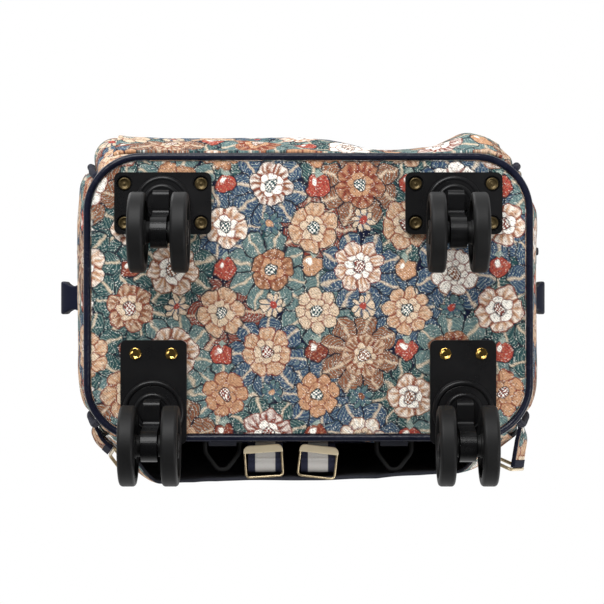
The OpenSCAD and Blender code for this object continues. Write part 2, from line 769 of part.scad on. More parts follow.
function pocket_fill(x, h) =
  smooth((pocket_w / 2 - abs(x)) / pocket_edge) *
  smooth(min(h - pocket_low, pocket_top - h) / pocket_edge);
pocket_top = pocket_low + pocket_h;
pocket_levels = concat(
  [for (i = [0:3]) pocket_low + pocket_edge * i / 4],
  [for (i = [0:4]) lerp(pocket_low + pocket_edge, bulge_rise, i / 4)],
  [for (i = [0:4]) pocket_top - pocket_edge * (1 - i / 4)]
);
function pocket_grid(depth) = [for (h = pocket_levels) [for (i = [0:18])
  let (x = pocket_w * (edge_step(i / 18, pocket_edge / pocket_w) - 0.5))
    [x, -(wall_y(x, h, front_at(h)) + soft_gap + depth + pocket_depth * pocket_fill(x, h)), caster_h + h]]];
// Spreads samples so that a third of them fall in each rounded edge of width e
function edge_step(t, e) =
  t < 1 / 3 ? 3 * t * e : t > 2 / 3 ? 1 - 3 * (1 - t) * e : lerp(e, 1 - e, 3 * t - 1);

module front_pocket() {
  color("cadetblue") placed() sheet(pocket_grid(wall_t), pocket_grid(0));
}

// The main zip runs up one side, over the top and down the other
function zip_path(off) = let (
    levels = concat([main_zip_low], [for (i = [0:6]) flat_high + shoulder_h * sin(90 * i / 6)]),
    half = [for (h = levels) let (s = slope_at(h)) [half_w(h) + off * cos(s), caster_h + h + off * sin(s)]])
  concat(half, [for (i = [len(half) - 1:-1:0]) [-half[i][0], half[i][1]]]);
module zip_band(width, low, high) {
  rotate([90, 0, 0]) linear_extrude(width, center = true)
    polygon(concat(zip_path(high), [for (i = [len(zip_path(low)) - 1:-1:0]) zip_path(low)[i]]));
}
module main_zip() {
  color([0.08, 0.09, 0.16]) placed() translate([0, -main_zip_y, 0]) {
    zip_band(zip_tape_w, seat_gap, tape_top);
    zip_band(zip_coil_w, tape_top - zip_tape_t / 2, tape_top + zip_coil_h);
  }
}
module on_pocket_zip() {
  translate([0, -front_at(pocket_zip_h), caster_h + pocket_zip_h]) rotate([90, 0, 0]) children();
}
module pocket_zip() {
  color([0.08, 0.09, 0.16]) placed() on_pocket_zip() {
    translate([-pocket_zip_l / 2, -zip_tape_w / 2, seat_gap]) cube([pocket_zip_l, zip_tape_w, zip_tape_t]);
    translate([-pocket_zip_l / 2 + 2, -zip_coil_w / 2, tape_top - zip_tape_t / 2])
      cube([pocket_zip_l - 4, zip_coil_w, zip_coil_h + zip_tape_t / 2]);
  }
}
// A slider on a coil along X, and the pull that turns on its pin and lies along -X
module slider() {
  w = zip_coil_w + 2 * run_gap + 2 * slider_side;
  ear_t = 1.2;
  color("goldenrod") translate([0, 0, tape_top]) {
    difference() {
      translate([-slider_l / 2, -w / 2, run_gap]) cube([slider_l, w, slider_top - run_gap]);
      translate([-slider_l, -zip_coil_w / 2 - run_gap, -1])
        cube([2 * slider_l, zip_coil_w + 2 * run_gap, zip_coil_h + run_gap + 1]);
    }
    for (s = [-1, 1]) translate([0, s * (pull_barrel_w / 2 + run_gap + ear_t / 2), slider_top - 0.5])
      translate([-1.6, -ear_t / 2, 0]) cube([3.2, ear_t, hinge_h - slider_top + 2]);
    translate([0, 0, hinge_h]) rotate([90, 0, 0])
      cylinder(d = pull_pin_d, h = pull_barrel_w + 2 * run_gap + ear_t, center = true);
  }
}
module pull() {
  color("goldenrod") translate([0, 0, tape_top + hinge_h]) rotate([0, -pull_drop, 0]) difference() {
    union() {
      rotate([90, 0, 0]) cylinder(d = pull_barrel_d, h = pull_barrel_w, center = true);
      translate([-pull_l / 2, 0, -pull_t / 2]) {
        translate([0, -pull_barrel_w / 2, 0]) cube([pull_l / 2, pull_barrel_w, pull_t]);
        translate([-pull_l / 8, 0, 0]) round_bar(3 * pull_l / 4, pull_w, pull_t);
      }
    }
    rotate([90, 0, 0]) cylinder(d = pull_pin_d + 2 * pin_gap, h = 2 * pull_barrel_w, center = true);
    translate([-pull_l + 2 * pull_w / 3, 0, -pull_t]) cylinder(d = pull_w / 2, h = 2 * pull_t);
  }
}
module on_main_zip(side) {
  placed() translate([0, -main_zip_y, top_z]) rotate([0, 0, side > 0 ? 180 : 0])
    translate([-main_slider_x, 0, 0]) children();
}
module on_pocket_slider() {
  placed() on_pocket_zip() translate([pocket_slider_x, 0, 0]) children();
}

// Carrying handles: straps that lie flat at both ends and bow out between them

function bow(t, height) = height * smooth((min(t, 1 - t) - 0.12) / 0.26);
bow_steps = [for (i = [0:24]) i / 24];
module side_handle(side) {
  h0 = side_handle_h - side_handle_l / 2;
  x0 = half_w(side_handle_h) + seat_gap;
  function skin(depth) = [for (t = bow_steps) [for (y = [-1, 1])
    [x0 + depth + bow(t, side_handle_bow), y * handle_w / 2, caster_h + h0 + side_handle_l * t]]];
  color("midnightblue") placed() mirror([side < 0 ? 1 : 0, 0, 0]) sheet(skin(handle_t), skin(0));
}
module top_handle() {
  function skin(depth) = [for (t = bow_steps) [for (y = [1, -1])
    [top_handle_l * (t - 0.5), top_handle_y + y * handle_w / 2,
      top_z + seat_gap + depth + bow(t, top_handle_bow)]]];
  color("midnightblue") placed() sheet(skin(handle_t), skin(0));
}

// Straps: a sleeve on the back wall hides the pads; their webbing turns at its open hem

function sleeve_half(h) = half_w(h) - corner_at(h) * (1 - cos(back_seam + sleeve_turn));
function sleeve_fill(x, h) = smooth((sleeve_half(h) - abs(x)) / sleeve_gusset);
function sleeve_deep(h) = smooth((sleeve_top - h) / 24) *
  lerp(sleeve_depth, sleeve_top_depth, unit((h - sleeve_hem) / (sleeve_top - sleeve_hem)));
sleeve_levels = concat(
  [for (i = [0:4]) lerp(sleeve_hem, bulge_rise, i / 4)],
  [for (i = [0:4]) sleeve_top - 24 * (1 - i / 4)]
);
function sleeve_grid(depth) = [for (h = sleeve_levels) [for (i = [24:-1:0])
  let (x = sleeve_half(h) * (2 * edge_step(i / 24, sleeve_gusset / 2 / sleeve_half(h)) - 1))
    [x, wall_y(x, h, back_at(h)) + soft_gap + depth + sleeve_deep(h) * sleeve_fill(x, h), caster_h + h]]];
module back_sleeve() {
  color("cadetblue") placed() sheet(sleeve_grid(sleeve_t), sleeve_grid(0));
}
module shoulder_strap(x) {
  edge = pad_t / 3;
  levels = [pad_low, pad_low + edge, (pad_low + pad_high) / 2, pad_high - edge, pad_high];
  y = back_at(bulge_rise) + strap_gap;
  sides = [pad_w / 2, pad_w / 2 - edge, edge - pad_w / 2, -pad_w / 2];
  function rim(i) = i == 0 || i == 3;
  function end(h) = h == pad_low || h == pad_high;
  function outer(h) = [for (i = [0:3])
    [x + sides[i], y + (rim(i) ? 2 * edge : end(h) ? pad_t - edge : pad_t), caster_h + h]];
  function inner(h) = [for (i = [0:3]) [x + sides[i], y + (rim(i) ? edge : 0), caster_h + h]];
  color("teal") placed() sheet([for (h = levels) outer(h)], [for (h = levels) inner(h)]);
}
// The webbing comes down from the pad, turns under and goes up again inside the sleeve
function webbing_path(off) = let (b = webbing_bend, y0 = webbing_front, y1 = webbing_back, z0 = webbing_low)
  concat(
    [[y0 - off, pad_low - 0.5]],
    [for (a = [180:15:270]) [y0 + b + (b + off) * cos(a), z0 + b + (b + off) * sin(a)]],
    [for (a = [270:15:360]) [y1 - b + (b + off) * cos(a), z0 + b + (b + off) * sin(a)]],
    [[y1 + off, webbing_end]]
  );
module webbing(x) {
  function skin(off) = [for (p = webbing_path(off)) [for (s = [1, -1])
    [x + s * webbing_w / 2, p[0], caster_h + p[1]]]];
  sheet(skin(0), skin(-webbing_t));
}
module strap_webbing() {
  color("navy") placed() {
    webbing(buckle_left_x);
    webbing(buckle_right_x);
  }
}
// A flat frame under the turn of the webbing, with a broad bar towards the bag
module slide_buckle() {
  l = buckle_window + buckle_top_bar + buckle_bar;
  difference() {
    rounded_plate(buckle_w, l, 4, buckle_t);
    translate([-webbing_w / 2 - seat_gap, buckle_bar - l / 2, -1])
      cube([webbing_w + 2 * seat_gap, buckle_window, buckle_t + 2]);
  }
}
module slide_buckles() {
  y = (webbing_front + webbing_back) / 2;
  color("gold") placed() for (x = [buckle_left_x, buckle_right_x])
    translate([x, y, caster_h + webbing_low - strap_gap - buckle_t]) rotate([0, 0, 180]) slide_buckle();
}
// A shield-shaped ring that swings on its straight bar
module delta_ring(side) {
  w = ring_inner_w / 2;
  d = ring_wire_d;
  function shield(out, low) = [[-w - out, low], [w + out, low], [w + out, ring_l / 3],
    [(w + out) / 3, ring_l - d + out], [-(w + out) / 3, ring_l - d + out], [-w - out, ring_l / 3]];
  color([0.08, 0.08, 0.08]) placed() translate([side * ring_x, ring_y, caster_h + ring_h]) {
    rotate([0, 90, 0]) cylinder(d = d, h = 2 * w + d, center = true);
    linear_extrude(d - 0.5, center = true) difference() {
      polygon(shield(d, -d / 2));
      polygon(shield(0, -d));
    }
  }
}
module ring_tab(side) {
  eye = tab_eye_d / 2;
  translate([side * ring_x - tab_w / 2, ring_y, caster_h + ring_h]) rotate([90, 0, 90]) difference() {
    linear_extrude(tab_w) union() {
      circle(d = tab_eye_d);
      translate([back_at(ring_h + eye) + seat_gap - ring_y, -eye])
        square([ring_y - back_at(ring_h + eye) - seat_gap, tab_eye_d]);
    }
    translate([0, 0, -1]) cylinder(d = ring_wire_d + 2 * pin_gap, h = tab_w + 2);
  }
}
// Corner tabs hold the metal strap rings; the right one stands out, the left one lies by the sleeve
tab_start = let (h = corner_tab_h + tab_w, a = back_seam + tab_turn, c = corner_centre(1, h))
  c + (corner_at(h) + seat_gap + soft_gap) * [cos(a), sin(a)];
right_tab = [for (p = [[0, 0], [0.07, 0.29], [0.08, 0.57], [0.05, 0.88]]) tab_start + tab_reach * p];
left_tab = [for (p = [[0, 0], [-0.02, 0.17], [0.07, 0.33], [0.31, 0.50]])
  [tab_reach * p[0] - tab_start[0], tab_reach * p[1] + tab_start[1]]];
right_link = [-0.91, -0.41];
left_link = [0.62, 0.785];
module corner_tab(points) {
  n = len(points);
  function normal(i) = let (d = points[min(i + 1, n - 1)] - points[max(i - 1, 0)]) [-d[1], d[0]] / norm(d);
  function skin(off) = [for (i = [0:n - 1]) let (p = points[i] + off * normal(i))
    [for (s = [0, 1]) [p[0], p[1], caster_h + corner_tab_h + s * tab_w]]];
  sheet(skin(corner_tab_t / 2), skin(-corner_tab_t / 2));
}
module strap_tabs() {
  color("cadetblue") placed() {
    ring_tab(-1);
    ring_tab(1);
    corner_tab(right_tab);
    corner_tab(left_tab);
  }
}
module strap_link(points, along) {
  n = len(points);
  d = (points[n - 1] - points[n - 2]) / norm(points[n - 1] - points[n - 2]);
  start = points[n - 1] + (link_wire_d / 2 + seat_gap) * d;
  wire_frame(start, along, link_l, caster_h + corner_tab_h + tab_w / 2, link_w, link_wire_d);
}
module strap_rings() {
  color("gold") placed() {
    strap_link(right_tab, right_link);
    strap_link(left_tab, left_link);
  }
}

base_panel();
base_board();
wall_panel(0);  // right_panel
wall_panel(1);  // back_panel
wall_panel(2);  // left_panel
wall_panel(3);  // front_panel
top_panel();
base_piping();
front_piping();
back_piping();
caster_plate(0);  // caster_plate_front_left
caster_plate(1);  // caster_plate_front_right
caster_plate(2);  // caster_plate_rear_left
caster_plate(3);  // caster_plate_rear_right
caster_yoke(0);  // caster_yoke_front_left
caster_yoke(1);  // caster_yoke_front_right
caster_yoke(2);  // caster_yoke_rear_left
caster_yoke(3);  // caster_yoke_rear_right
caster_axle(0);  // caster_axle_front_left
caster_axle(1);  // caster_axle_front_right
caster_axle(2);  // caster_axle_rear_left
caster_axle(3);  // caster_axle_rear_right
caster_wheel(0, true);  // wheel_front_left_outer
caster_wheel(0, false);  // wheel_front_left_inner
caster_wheel(1, true);  // wheel_front_right_outer
caster_wheel(1, false);  // wheel_front_right_inner
caster_wheel(2, true);  // wheel_rear_left_outer
caster_wheel(2, false);  // wheel_rear_left_inner
caster_wheel(3, true);  // wheel_rear_right_outer
caster_wheel(3, false);  // wheel_rear_right_inner
swivel_rivets();
plate_rivets();
outer_tubes();
tube_foot();
handle_bezel();
middle_tubes();
inner_tubes();
grip();
release_button();
front_pocket();
main_zip();
pocket_zip();
on_main_zip(-1) slider();  // main_slider_left
on_main_zip(1) slider();  // main_slider_right
on_pocket_slider() slider();  // pocket_slider
on_main_zip(-1) pull();  // main_pull_left
on_main_zip(1) pull();  // main_pull_right
on_pocket_slider() pull();  // pocket_pull
side_handle(-1);  // side_handle_left
side_handle(1);  // side_handle_right
top_handle();
back_sleeve();
shoulder_strap(pad_left_x);  // shoulder_strap_left
shoulder_strap(pad_right_x);  // shoulder_strap_right
strap_webbing();
slide_buckles();
delta_ring(-1);  // delta_ring_left
delta_ring(1);  // delta_ring_right
strap_tabs();
strap_rings();
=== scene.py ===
"""Looks of the rolling backpack: cloth, piping, straps, hardware, light and camera, round the CAD frame."""
import math

import bmesh
import bpy
import numpy as np
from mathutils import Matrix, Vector


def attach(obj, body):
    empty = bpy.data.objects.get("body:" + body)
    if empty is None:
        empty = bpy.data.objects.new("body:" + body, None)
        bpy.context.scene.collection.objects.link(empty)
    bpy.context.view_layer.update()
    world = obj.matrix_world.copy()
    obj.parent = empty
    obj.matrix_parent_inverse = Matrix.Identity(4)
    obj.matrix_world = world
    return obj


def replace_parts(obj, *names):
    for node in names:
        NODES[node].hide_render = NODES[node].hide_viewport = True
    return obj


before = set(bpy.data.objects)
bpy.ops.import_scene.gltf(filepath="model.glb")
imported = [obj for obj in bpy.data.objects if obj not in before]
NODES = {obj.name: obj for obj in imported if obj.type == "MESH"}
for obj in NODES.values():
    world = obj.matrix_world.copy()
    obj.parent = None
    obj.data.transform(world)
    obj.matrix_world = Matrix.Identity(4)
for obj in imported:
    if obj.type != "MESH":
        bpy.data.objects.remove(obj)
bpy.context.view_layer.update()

# Sizes of the CAD body, in millimetres, with the base panel's middle at x = y = 0
MID_Y = 2.497
BASE_W, BASE_D, BASE_R = 309.5, 194.5, 36.0
CASTER_H, BODY_H, RISE, SHOULDER = 70.0, 425.0, 110.0, 45.0
SIDE_BULGE, FRONT_BULGE, BACK_BULGE = 22.0, 20.0, 4.0
SIDE_DRAW, FRONT_DRAW, BACK_DRAW = 24.0, 20.0, 8.0
FLAT_HIGH = BODY_H - SHOULDER
SEAM_H = FLAT_HIGH + SHOULDER * math.sin(math.radians(60))
# Seams' places round their corners, in degrees, and how much further round the sleeve and the tabs start
RIGHT_FRONT_SEAM, LEFT_FRONT_SEAM, BACK_SEAM = 46.5, 36.5, 42.0
SLEEVE_TURN, TAB_TURN = 16.0, 10.5
SEAMS = [-RIGHT_FRONT_SEAM, BACK_SEAM, 180 - BACK_SEAM, 180 + LEFT_FRONT_SEAM, 360 - RIGHT_FRONT_SEAM]
# How far each corner's seam is drawn in: right front, right back, left back, left front
SEAM_PULL = (12.0, 4.5, 5.0, 8.0)
TOP_Z = CASTER_H + BODY_H
SIDES = ((-1, "left"), (1, "right"))
MIRROR = (-1, 1, 1)
# Right casters: swivel axes as (x, y), and plates as (x, y, width, depth)
FRONT_AXIS, REAR_AXIS = (103.5, -66.75), (110.0, 81.0)
FRONT_PLATE, REAR_PLATE = (*FRONT_AXIS, 69.0, 44.0), (110.0, 67.5, 47.0, 74.0)


def metres(points):
    """Millimetres about the base panel's middle to metres in the row's frame, as a list of points."""
    return (np.array(points, float).reshape(-1, 3) - [0, MID_Y, 0]) / 1000


def stacked(*parts):
    """Coordinates put together as points; a part may be one number for all of them."""
    return np.stack(np.broadcast_arrays(*parts), -1)


def unit(t):
    return np.clip(t, 0, 1)


def smooth(t):
    s = unit(t)
    return s * s * (3 - 2 * s)


def lerp(a, b, t):
    return a + (b - a) * t


def bell(v, middle, width):
    return np.exp(-((v - middle) / width) ** 2)


def normed(v):
    return v / np.linalg.norm(v, axis=-1, keepdims=True)


def run(points):
    """Lengths along a line of points, from its start."""
    return np.concatenate([[0], np.cumsum(np.linalg.norm(np.diff(points, axis=0), axis=1))])


# Deterministic noise: a lattice of hashed values, interpolated

def hashed(ix, iy, iz, seed):
    n = (ix * 73856093) ^ (iy * 19349663) ^ (iz * 83492791) ^ (seed * 2654435761)
    n = (n ^ (n >> 13)) * 1274126177
    n = n ^ (n >> 16)
    return (n & 0xFFFF) / 32767.5 - 1


def noise(p, scale, seed=0):
    q = np.asarray(p, float) / scale
    i = np.floor(q).astype(np.int64)
    f = q - i
    f = f * f * (3 - 2 * f)
    out = 0
    for step in np.ndindex(2, 2, 2):
        w = np.prod(np.where(step, f, 1 - f), -1)
        out = out + w * hashed(*np.moveaxis(i + step, -1, 0), seed)
    return out


# The body's surface, as the CAD has it

def slope(h):
    return np.arcsin(unit((h - FLAT_HIGH) / SHOULDER))


def wall_out(h, bulge, draw):
    low = bulge * np.sin(np.pi / 2 * np.clip(h, 0, RISE) / RISE)
    return np.where(h < RISE, low, bulge - draw * (1 - np.cos(slope(h))))


def half_w(h):
    return BASE_W / 2 + wall_out(h, SIDE_BULGE, SIDE_DRAW)


def front_at(h):
    return BASE_D / 2 + wall_out(h, FRONT_BULGE, FRONT_DRAW)


def back_at(h):
    return BASE_D / 2 + wall_out(h, BACK_BULGE, BACK_DRAW)


def corner_at(h):
    return BASE_R + wall_out(h, 0.0, SIDE_DRAW) / 2


def corner_centre(k, h):
    r = corner_at(h)
    x = half_w(h) - r
    y = back_at(h) - r if k % 4 in (1, 2) else r - front_at(h)
    return (x if k % 4 < 2 else -x), y


def wall_y(x, h, reach):
    r = corner_at(h)
    over = np.maximum(0, np.abs(x) - (half_w(h) - r))
    return reach - r + np.sqrt(np.maximum(0, r * r - over * over))


def wall_grid(k, t, h):
    """Points of wall k, and their outward directions, for t along it from seam to seam and heights h."""
    t, h = np.meshgrid(t, h)
    r = corner_at(h)
    ax, ay = corner_centre(k, h)
    bx, by = corner_centre(k + 1, h)
    a0, a1, a2 = (math.radians(v) for v in (SEAMS[k], 90 * k, SEAMS[k + 1]))
    span = math.hypot(*np.subtract(corner_centre(k + 1, 200.0), corner_centre(k, 200.0)))
    first, second = (a1 - a0) * BASE_R, (a2 - a1) * BASE_R
    f1 = first / (first + span + second)
    f2 = (first + span) / (first + span + second)
    angle = np.where(t > f2, a1 + (a2 - a1) * (t - f2) / (1 - f2), a1)
    angle = np.where(t < f1, a0 + (a1 - a0) * t / f1, angle)
    w = unit((t - f1) / (f2 - f1))
    x = lerp(ax, bx, w) + r * np.cos(angle)
    y = lerp(ay, by, w) + r * np.sin(angle)
    s = slope(h)
    out = stacked(np.cos(angle) * np.cos(s), np.sin(angle) * np.cos(s), np.sin(s))
    return stacked(x, y, CASTER_H + h), out, (first + span + second)


def creases(p):
    """How far the slack cloth of the body stands from its CAD surface at a point, in millimetres."""
    big = noise(p, 95.0, 3)
    fold = noise(p * [1, 1, 0.45] + 17 * noise(p, 60.0, 5)[..., None], 34.0, 7)
    fine = noise(p, 13.0, 11)
    return -0.9 + 0.7 * big + 0.75 * (1 - np.abs(fold) * 2) * 0.6 + 0.16 * fine


def drawn_in(corner, h):
    """How far a corner's seam is pulled in at a height, in millimetres."""
    return SEAM_PULL[corner % 4] * smooth((h - 8) / 60) * (1 - smooth((h - 120) / 240))


def rear_swell(x, y, h):
    """How far the rear corners swell towards the back, low down."""
    near = bell(np.abs(x), 150, 16) * bell(h, 50, 45)
    return 6.0 * near * smooth(h / 25) * smooth((y - 40) / 40)


def front_slack(x, h):
    """Dents and fullness along the front, low down, where the bag leans on nothing."""
    low = bell(h, 95, 75)
    dent = -12.5 * bell(x, 66, 36)
    full = 5.5 * bell(x, -148, 18) + 6.0 * bell(x, 120, 18)
    tuck = -8.0 * smooth((x - 130) / 30)
    rolls = 1.5 * np.sin(h / 8.5 + 2.6 * np.sin(x / 37) + x / 60) * bell(h, 45, 34)
    return low * (dent + full + tuck - 1.0) + rolls


# Meshes

def make_mesh(name, verts, faces, uvs, materials, body):
    """An object from points and UVs in millimetres."""
    mesh = bpy.data.meshes.new(name)
    mesh.from_pydata([tuple(v) for v in metres(verts)], [], faces)
    if uvs is not None:
        layer = mesh.uv_layers.new(name="UVMap")
        loops = np.zeros(len(mesh.loops), np.int32)
        mesh.loops.foreach_get("vertex_index", loops)
        uvs = np.asarray(uvs, float).reshape(-1, 2) / 1000
        layer.data.foreach_set("uv", uvs.astype(np.float32)[loops].ravel())
    for m in materials:
        mesh.materials.append(m)
    mesh.shade_smooth()
    obj = bpy.data.objects.new(name, mesh)
    bpy.context.scene.collection.objects.link(obj)
    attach(obj, body)
    return obj


def grid_faces(rows, cols, loop_rows=False, loop_cols=False, flip=False):
    faces = []
    for j in range(rows if loop_rows else rows - 1):
        for i in range(cols if loop_cols else cols - 1):
            a, b = j * cols + i, j * cols + (i + 1) % cols
            c, d = ((j + 1) % rows) * cols + (i + 1) % cols, ((j + 1) % rows) * cols + i
            faces.append((a, d, c, b) if flip else (a, b, c, d))
    return faces


def grid_object(name, points, uv, materials, flip=False, thick=0.0):
    """A sheet over a grid of points in millimetres; thick gives it a back of the second material."""
    rows, cols = points.shape[:2]
    obj = make_mesh(name, points, grid_faces(rows, cols, flip=flip), uv, materials, "bag")
    if thick:
        solid = obj.modifiers.new("thick", "SOLIDIFY")
        solid.thickness = thick / 1000
        solid.offset = -1
        solid.material_offset = 1
        solid.material_offset_rim = 0
    return obj


def frames(p, outs, loop):
    """Out and side directions, square to a path of points; outs may be one direction for all of it."""
    o = np.broadcast_to(np.asarray(outs, float), p.shape)
    if loop:
        t = np.roll(p, -1, 0) - np.roll(p, 1, 0)
    else:
        t = np.gradient(p, axis=0)
    t = normed(t)
    o = normed(o - (o * t).sum(1)[:, None] * t)
    return o, np.cross(t, o)


def sweep(name, path, outs, section, materials, body="bag", loop=False):
    """A closed section, given as (out, side) pairs in millimetres, swept along a path of points."""
    p = np.asarray(path, float)
    o, side = frames(p, outs, loop)
    sec = np.asarray(section, float)
    if sec.ndim == 2:
        sec = np.repeat(sec[None], len(p), 0)
    pts = p[:, None] + sec[..., :1] * o[:, None] + sec[..., 1:] * side[:, None]
    rows, cols = pts.shape[:2]
    faces = grid_faces(rows, cols, loop_rows=loop, loop_cols=True)
    if not loop:
        faces.append(tuple(range(cols))[::-1])
        faces.append(tuple(range((rows - 1) * cols, rows * cols)))
    uv = stacked(run(p)[:, None], run(sec[0])[None])
    return make_mesh(name, pts, faces, uv, materials, body)


def relaxed(points, count, rounds):
    """A line of (a, b) pairs with points added between them, smoothed with its ends held."""
    w, key = np.linspace(0, 1, count), np.linspace(0, 1, len(points))
    fine = stacked(*(np.interp(w, key, v) for v in np.transpose(points)))
    for _ in range(rounds):
        fine[1:-1] = (fine[:-2] + 2 * fine[1:-1] + fine[2:]) / 4
    return fine


def strip_path(x, z, line):
    """A path of (y, rise) pairs in the upright plane at x, above height z, with its outward directions."""
    path = np.array([(x, y, z + rise) for y, rise in line])
    return path, np.cross(np.gradient(path, axis=0), [1.0, 0, 0])


def round_section(d, n=14):
    a = np.arange(n) * 2 * np.pi / n
    return stacked(np.cos(a), np.sin(a)) * d / 2


def strap_section(width, thick, edge=0.8, crown=0.0):
    """A flat strap's section with rounded edges; out is its face, side its width."""
    r = min(edge, thick / 2 - 1e-3)
    x, y = thick / 2 - r, width / 2 - r
    pts = []
    for cx, cy, first in ((x, y, 0), (-x, y, 90), (-x, -y, 180), (x, -y, 270)):
        for a in np.radians(np.linspace(first, first + 90, 4)):
            pts.append((cx + r * math.cos(a), cy + r * math.sin(a)))
    out = []
    for i, p in enumerate(pts):
        q = pts[(i + 1) % len(pts)]
        out.append(p)
        if abs(p[0] - q[0]) < 1e-6 and abs(p[1] - q[1]) > width / 3:
            for w in np.arange(1, 8) / 8:
                bulge = crown * (1 - (2 * w - 1) ** 2) * (1 if p[0] > 0 else -1)
                out.append((p[0] + bulge, lerp(p[1], q[1], w)))
    return np.array(out)


# Shader values: arithmetic on sockets makes math nodes

def method(kind):
    """A method of Val that makes one math node."""
    return lambda self, *others: self.op(kind, *others)


class Val:
    def __init__(self, tree, socket):
        self.tree, self.socket = tree, socket

    def op(self, name, *others, clamp=False):
        node = self.tree.nodes.new("ShaderNodeMath")
        node.operation = name
        node.use_clamp = clamp
        for i, o in enumerate((self, *others)):
            if isinstance(o, Val):
                self.tree.links.new(o.socket, node.inputs[i])
            else:
                node.inputs[i].default_value = o
        return Val(self.tree, node.outputs[0])

    __add__, __sub__ = method("ADD"), method("SUBTRACT")
    __mul__, __truediv__, __pow__ = method("MULTIPLY"), method("DIVIDE"), method("POWER")
    __lt__, __gt__ = method("LESS_THAN"), method("GREATER_THAN")
    abs, floor, fract = method("ABSOLUTE"), method("FLOOR"), method("FRACT")
    sin, cos, sqrt = method("SINE"), method("COSINE"), method("SQRT")

    def __rsub__(self, o):
        return self.op("MULTIPLY", -1.0).op("ADD", o)

    def clamp(self):
        return self.op("ADD", 0.0, clamp=True)

    def soft(self, width=0.7):
        """1 where the value is positive, 0 where negative, over a soft edge."""
        return self.op("MULTIPLY_ADD", 1.0 / width, 0.5, clamp=True)


class Shader:
    """A material's node tree with short names for the nodes used here."""

    def __init__(self, name, roughness=0.5, metallic=0.0, specular=0.5, color=(0.5, 0.5, 0.5)):
        self.material = bpy.data.materials.new(name)
        self.material.use_nodes = True
        self.tree = self.material.node_tree
        self.bsdf = self.tree.nodes["Principled BSDF"]
        self.bsdf.inputs["Roughness"].default_value = roughness
        self.bsdf.inputs["Metallic"].default_value = metallic
        self.bsdf.inputs["Specular IOR Level"].default_value = specular
        self.bsdf.inputs["Base Color"].default_value = (*color, 1)

    def node(self, kind, **props):
        n = self.tree.nodes.new(kind)
        for k, v in props.items():
            setattr(n, k, v)
        return n

    def val(self, socket):
        return Val(self.tree, socket)

    def put(self, socket, value):
        if isinstance(value, Val):
            self.tree.links.new(value.socket, socket)
        elif hasattr(value, "links"):
            self.tree.links.new(value, socket)
        elif isinstance(value, tuple):
            socket.default_value = (*value, 1) if len(value) == 3 else value
        else:
            socket.default_value = value

    def uv(self):
        """UV in millimetres."""
        n = self.node("ShaderNodeUVMap", uv_map="UVMap")
        s = self.node("ShaderNodeSeparateXYZ")
        self.put(s.inputs[0], n.outputs[0])
        return self.val(s.outputs[0]) * 1000.0, self.val(s.outputs[1]) * 1000.0

    def point(self):
        """Object position as a vector socket, which is in metres in the row's frame."""
        return self.node("ShaderNodeTexCoord").outputs["Object"]

    def vector(self, x, y, z=0.0):
        n = self.node("ShaderNodeCombineXYZ")
        for i, v in enumerate((x, y, z)):
            self.put(n.inputs[i], v)
        return n.outputs[0]

    def noise(self, vector, scale, detail):
        n = self.node("ShaderNodeTexNoise")
        self.put(n.inputs["Vector"], vector)
        n.inputs["Scale"].default_value = scale
        n.inputs["Detail"].default_value = detail
        return self.val(n.outputs[0])

    def random(self, x, y, seed):
        """Three numbers from 0 to 1 that are the same all over one cell."""
        n = self.node("ShaderNodeTexWhiteNoise", noise_dimensions="3D")
        self.put(n.inputs["Vector"], self.vector(x, y, seed))
        s = self.node("ShaderNodeSeparateColor")
        self.put(s.inputs[0], n.outputs["Color"])
        return [self.val(o) for o in s.outputs]

    def mix(self, fac, a, b):
        n = self.node("ShaderNodeMix", data_type="RGBA")
        self.put(n.inputs[0], fac)
        self.put(n.inputs[6], a)
        self.put(n.inputs[7], b)
        return n.outputs[2]

    def ramp(self, fac, colors):
        """One of several colours, in equal steps of a value from 0 to 1."""
        n = self.node("ShaderNodeValToRGB")
        n.color_ramp.interpolation = "CONSTANT"
        el = n.color_ramp.elements
        while len(el) < len(colors):
            el.new(1.0)
        for i, c in enumerate(colors):
            el[i].position = i / len(colors)
            el[i].color = (*c, 1)
        self.put(n.inputs[0], fac)
        return n.outputs[0]

    def tint(self, color, value):
        """A colour multiplied by a value."""
        n = self.node("ShaderNodeVectorMath", operation="SCALE")
        self.put(n.inputs[0], color)
        self.put(n.inputs["Scale"], value)
        return n.outputs[0]

    def color(self, socket):
        self.put(self.bsdf.inputs["Base Color"], socket)

    def roughness(self, value):
        self.put(self.bsdf.inputs["Roughness"], value)

    def bump(self, height, strength, distance):
        n = self.node("ShaderNodeBump")
        n.inputs["Strength"].default_value = strength
        n.inputs["Distance"].default_value = distance
        self.put(n.inputs["Height"], height)
        self.put(self.bsdf.inputs["Normal"], n.outputs[0])


NAVY = (0.008, 0.011, 0.030)
INK = (0.020, 0.019, 0.027)
CREAM = (0.90, 0.87, 0.80)
BEIGE = (0.64, 0.51, 0.37)
TAN = (0.50, 0.285, 0.165)
BROWN = (0.235, 0.092, 0.048)
RUST = (0.205, 0.045, 0.030)
RED = (0.36, 0.060, 0.045)
TEAL = (0.025, 0.068, 0.072)
SLATE = (0.098, 0.165, 0.168)
DENIM = (0.036, 0.068, 0.130)
SAGE = (0.27, 0.34, 0.30)


# The cloth's design: its lattice and threads in millimetres, and a full turn
CELL_W, CELL_H = 66.0, 60.0
THREAD_W, THREAD_H, TURN = 0.74, 0.58, 6.2832


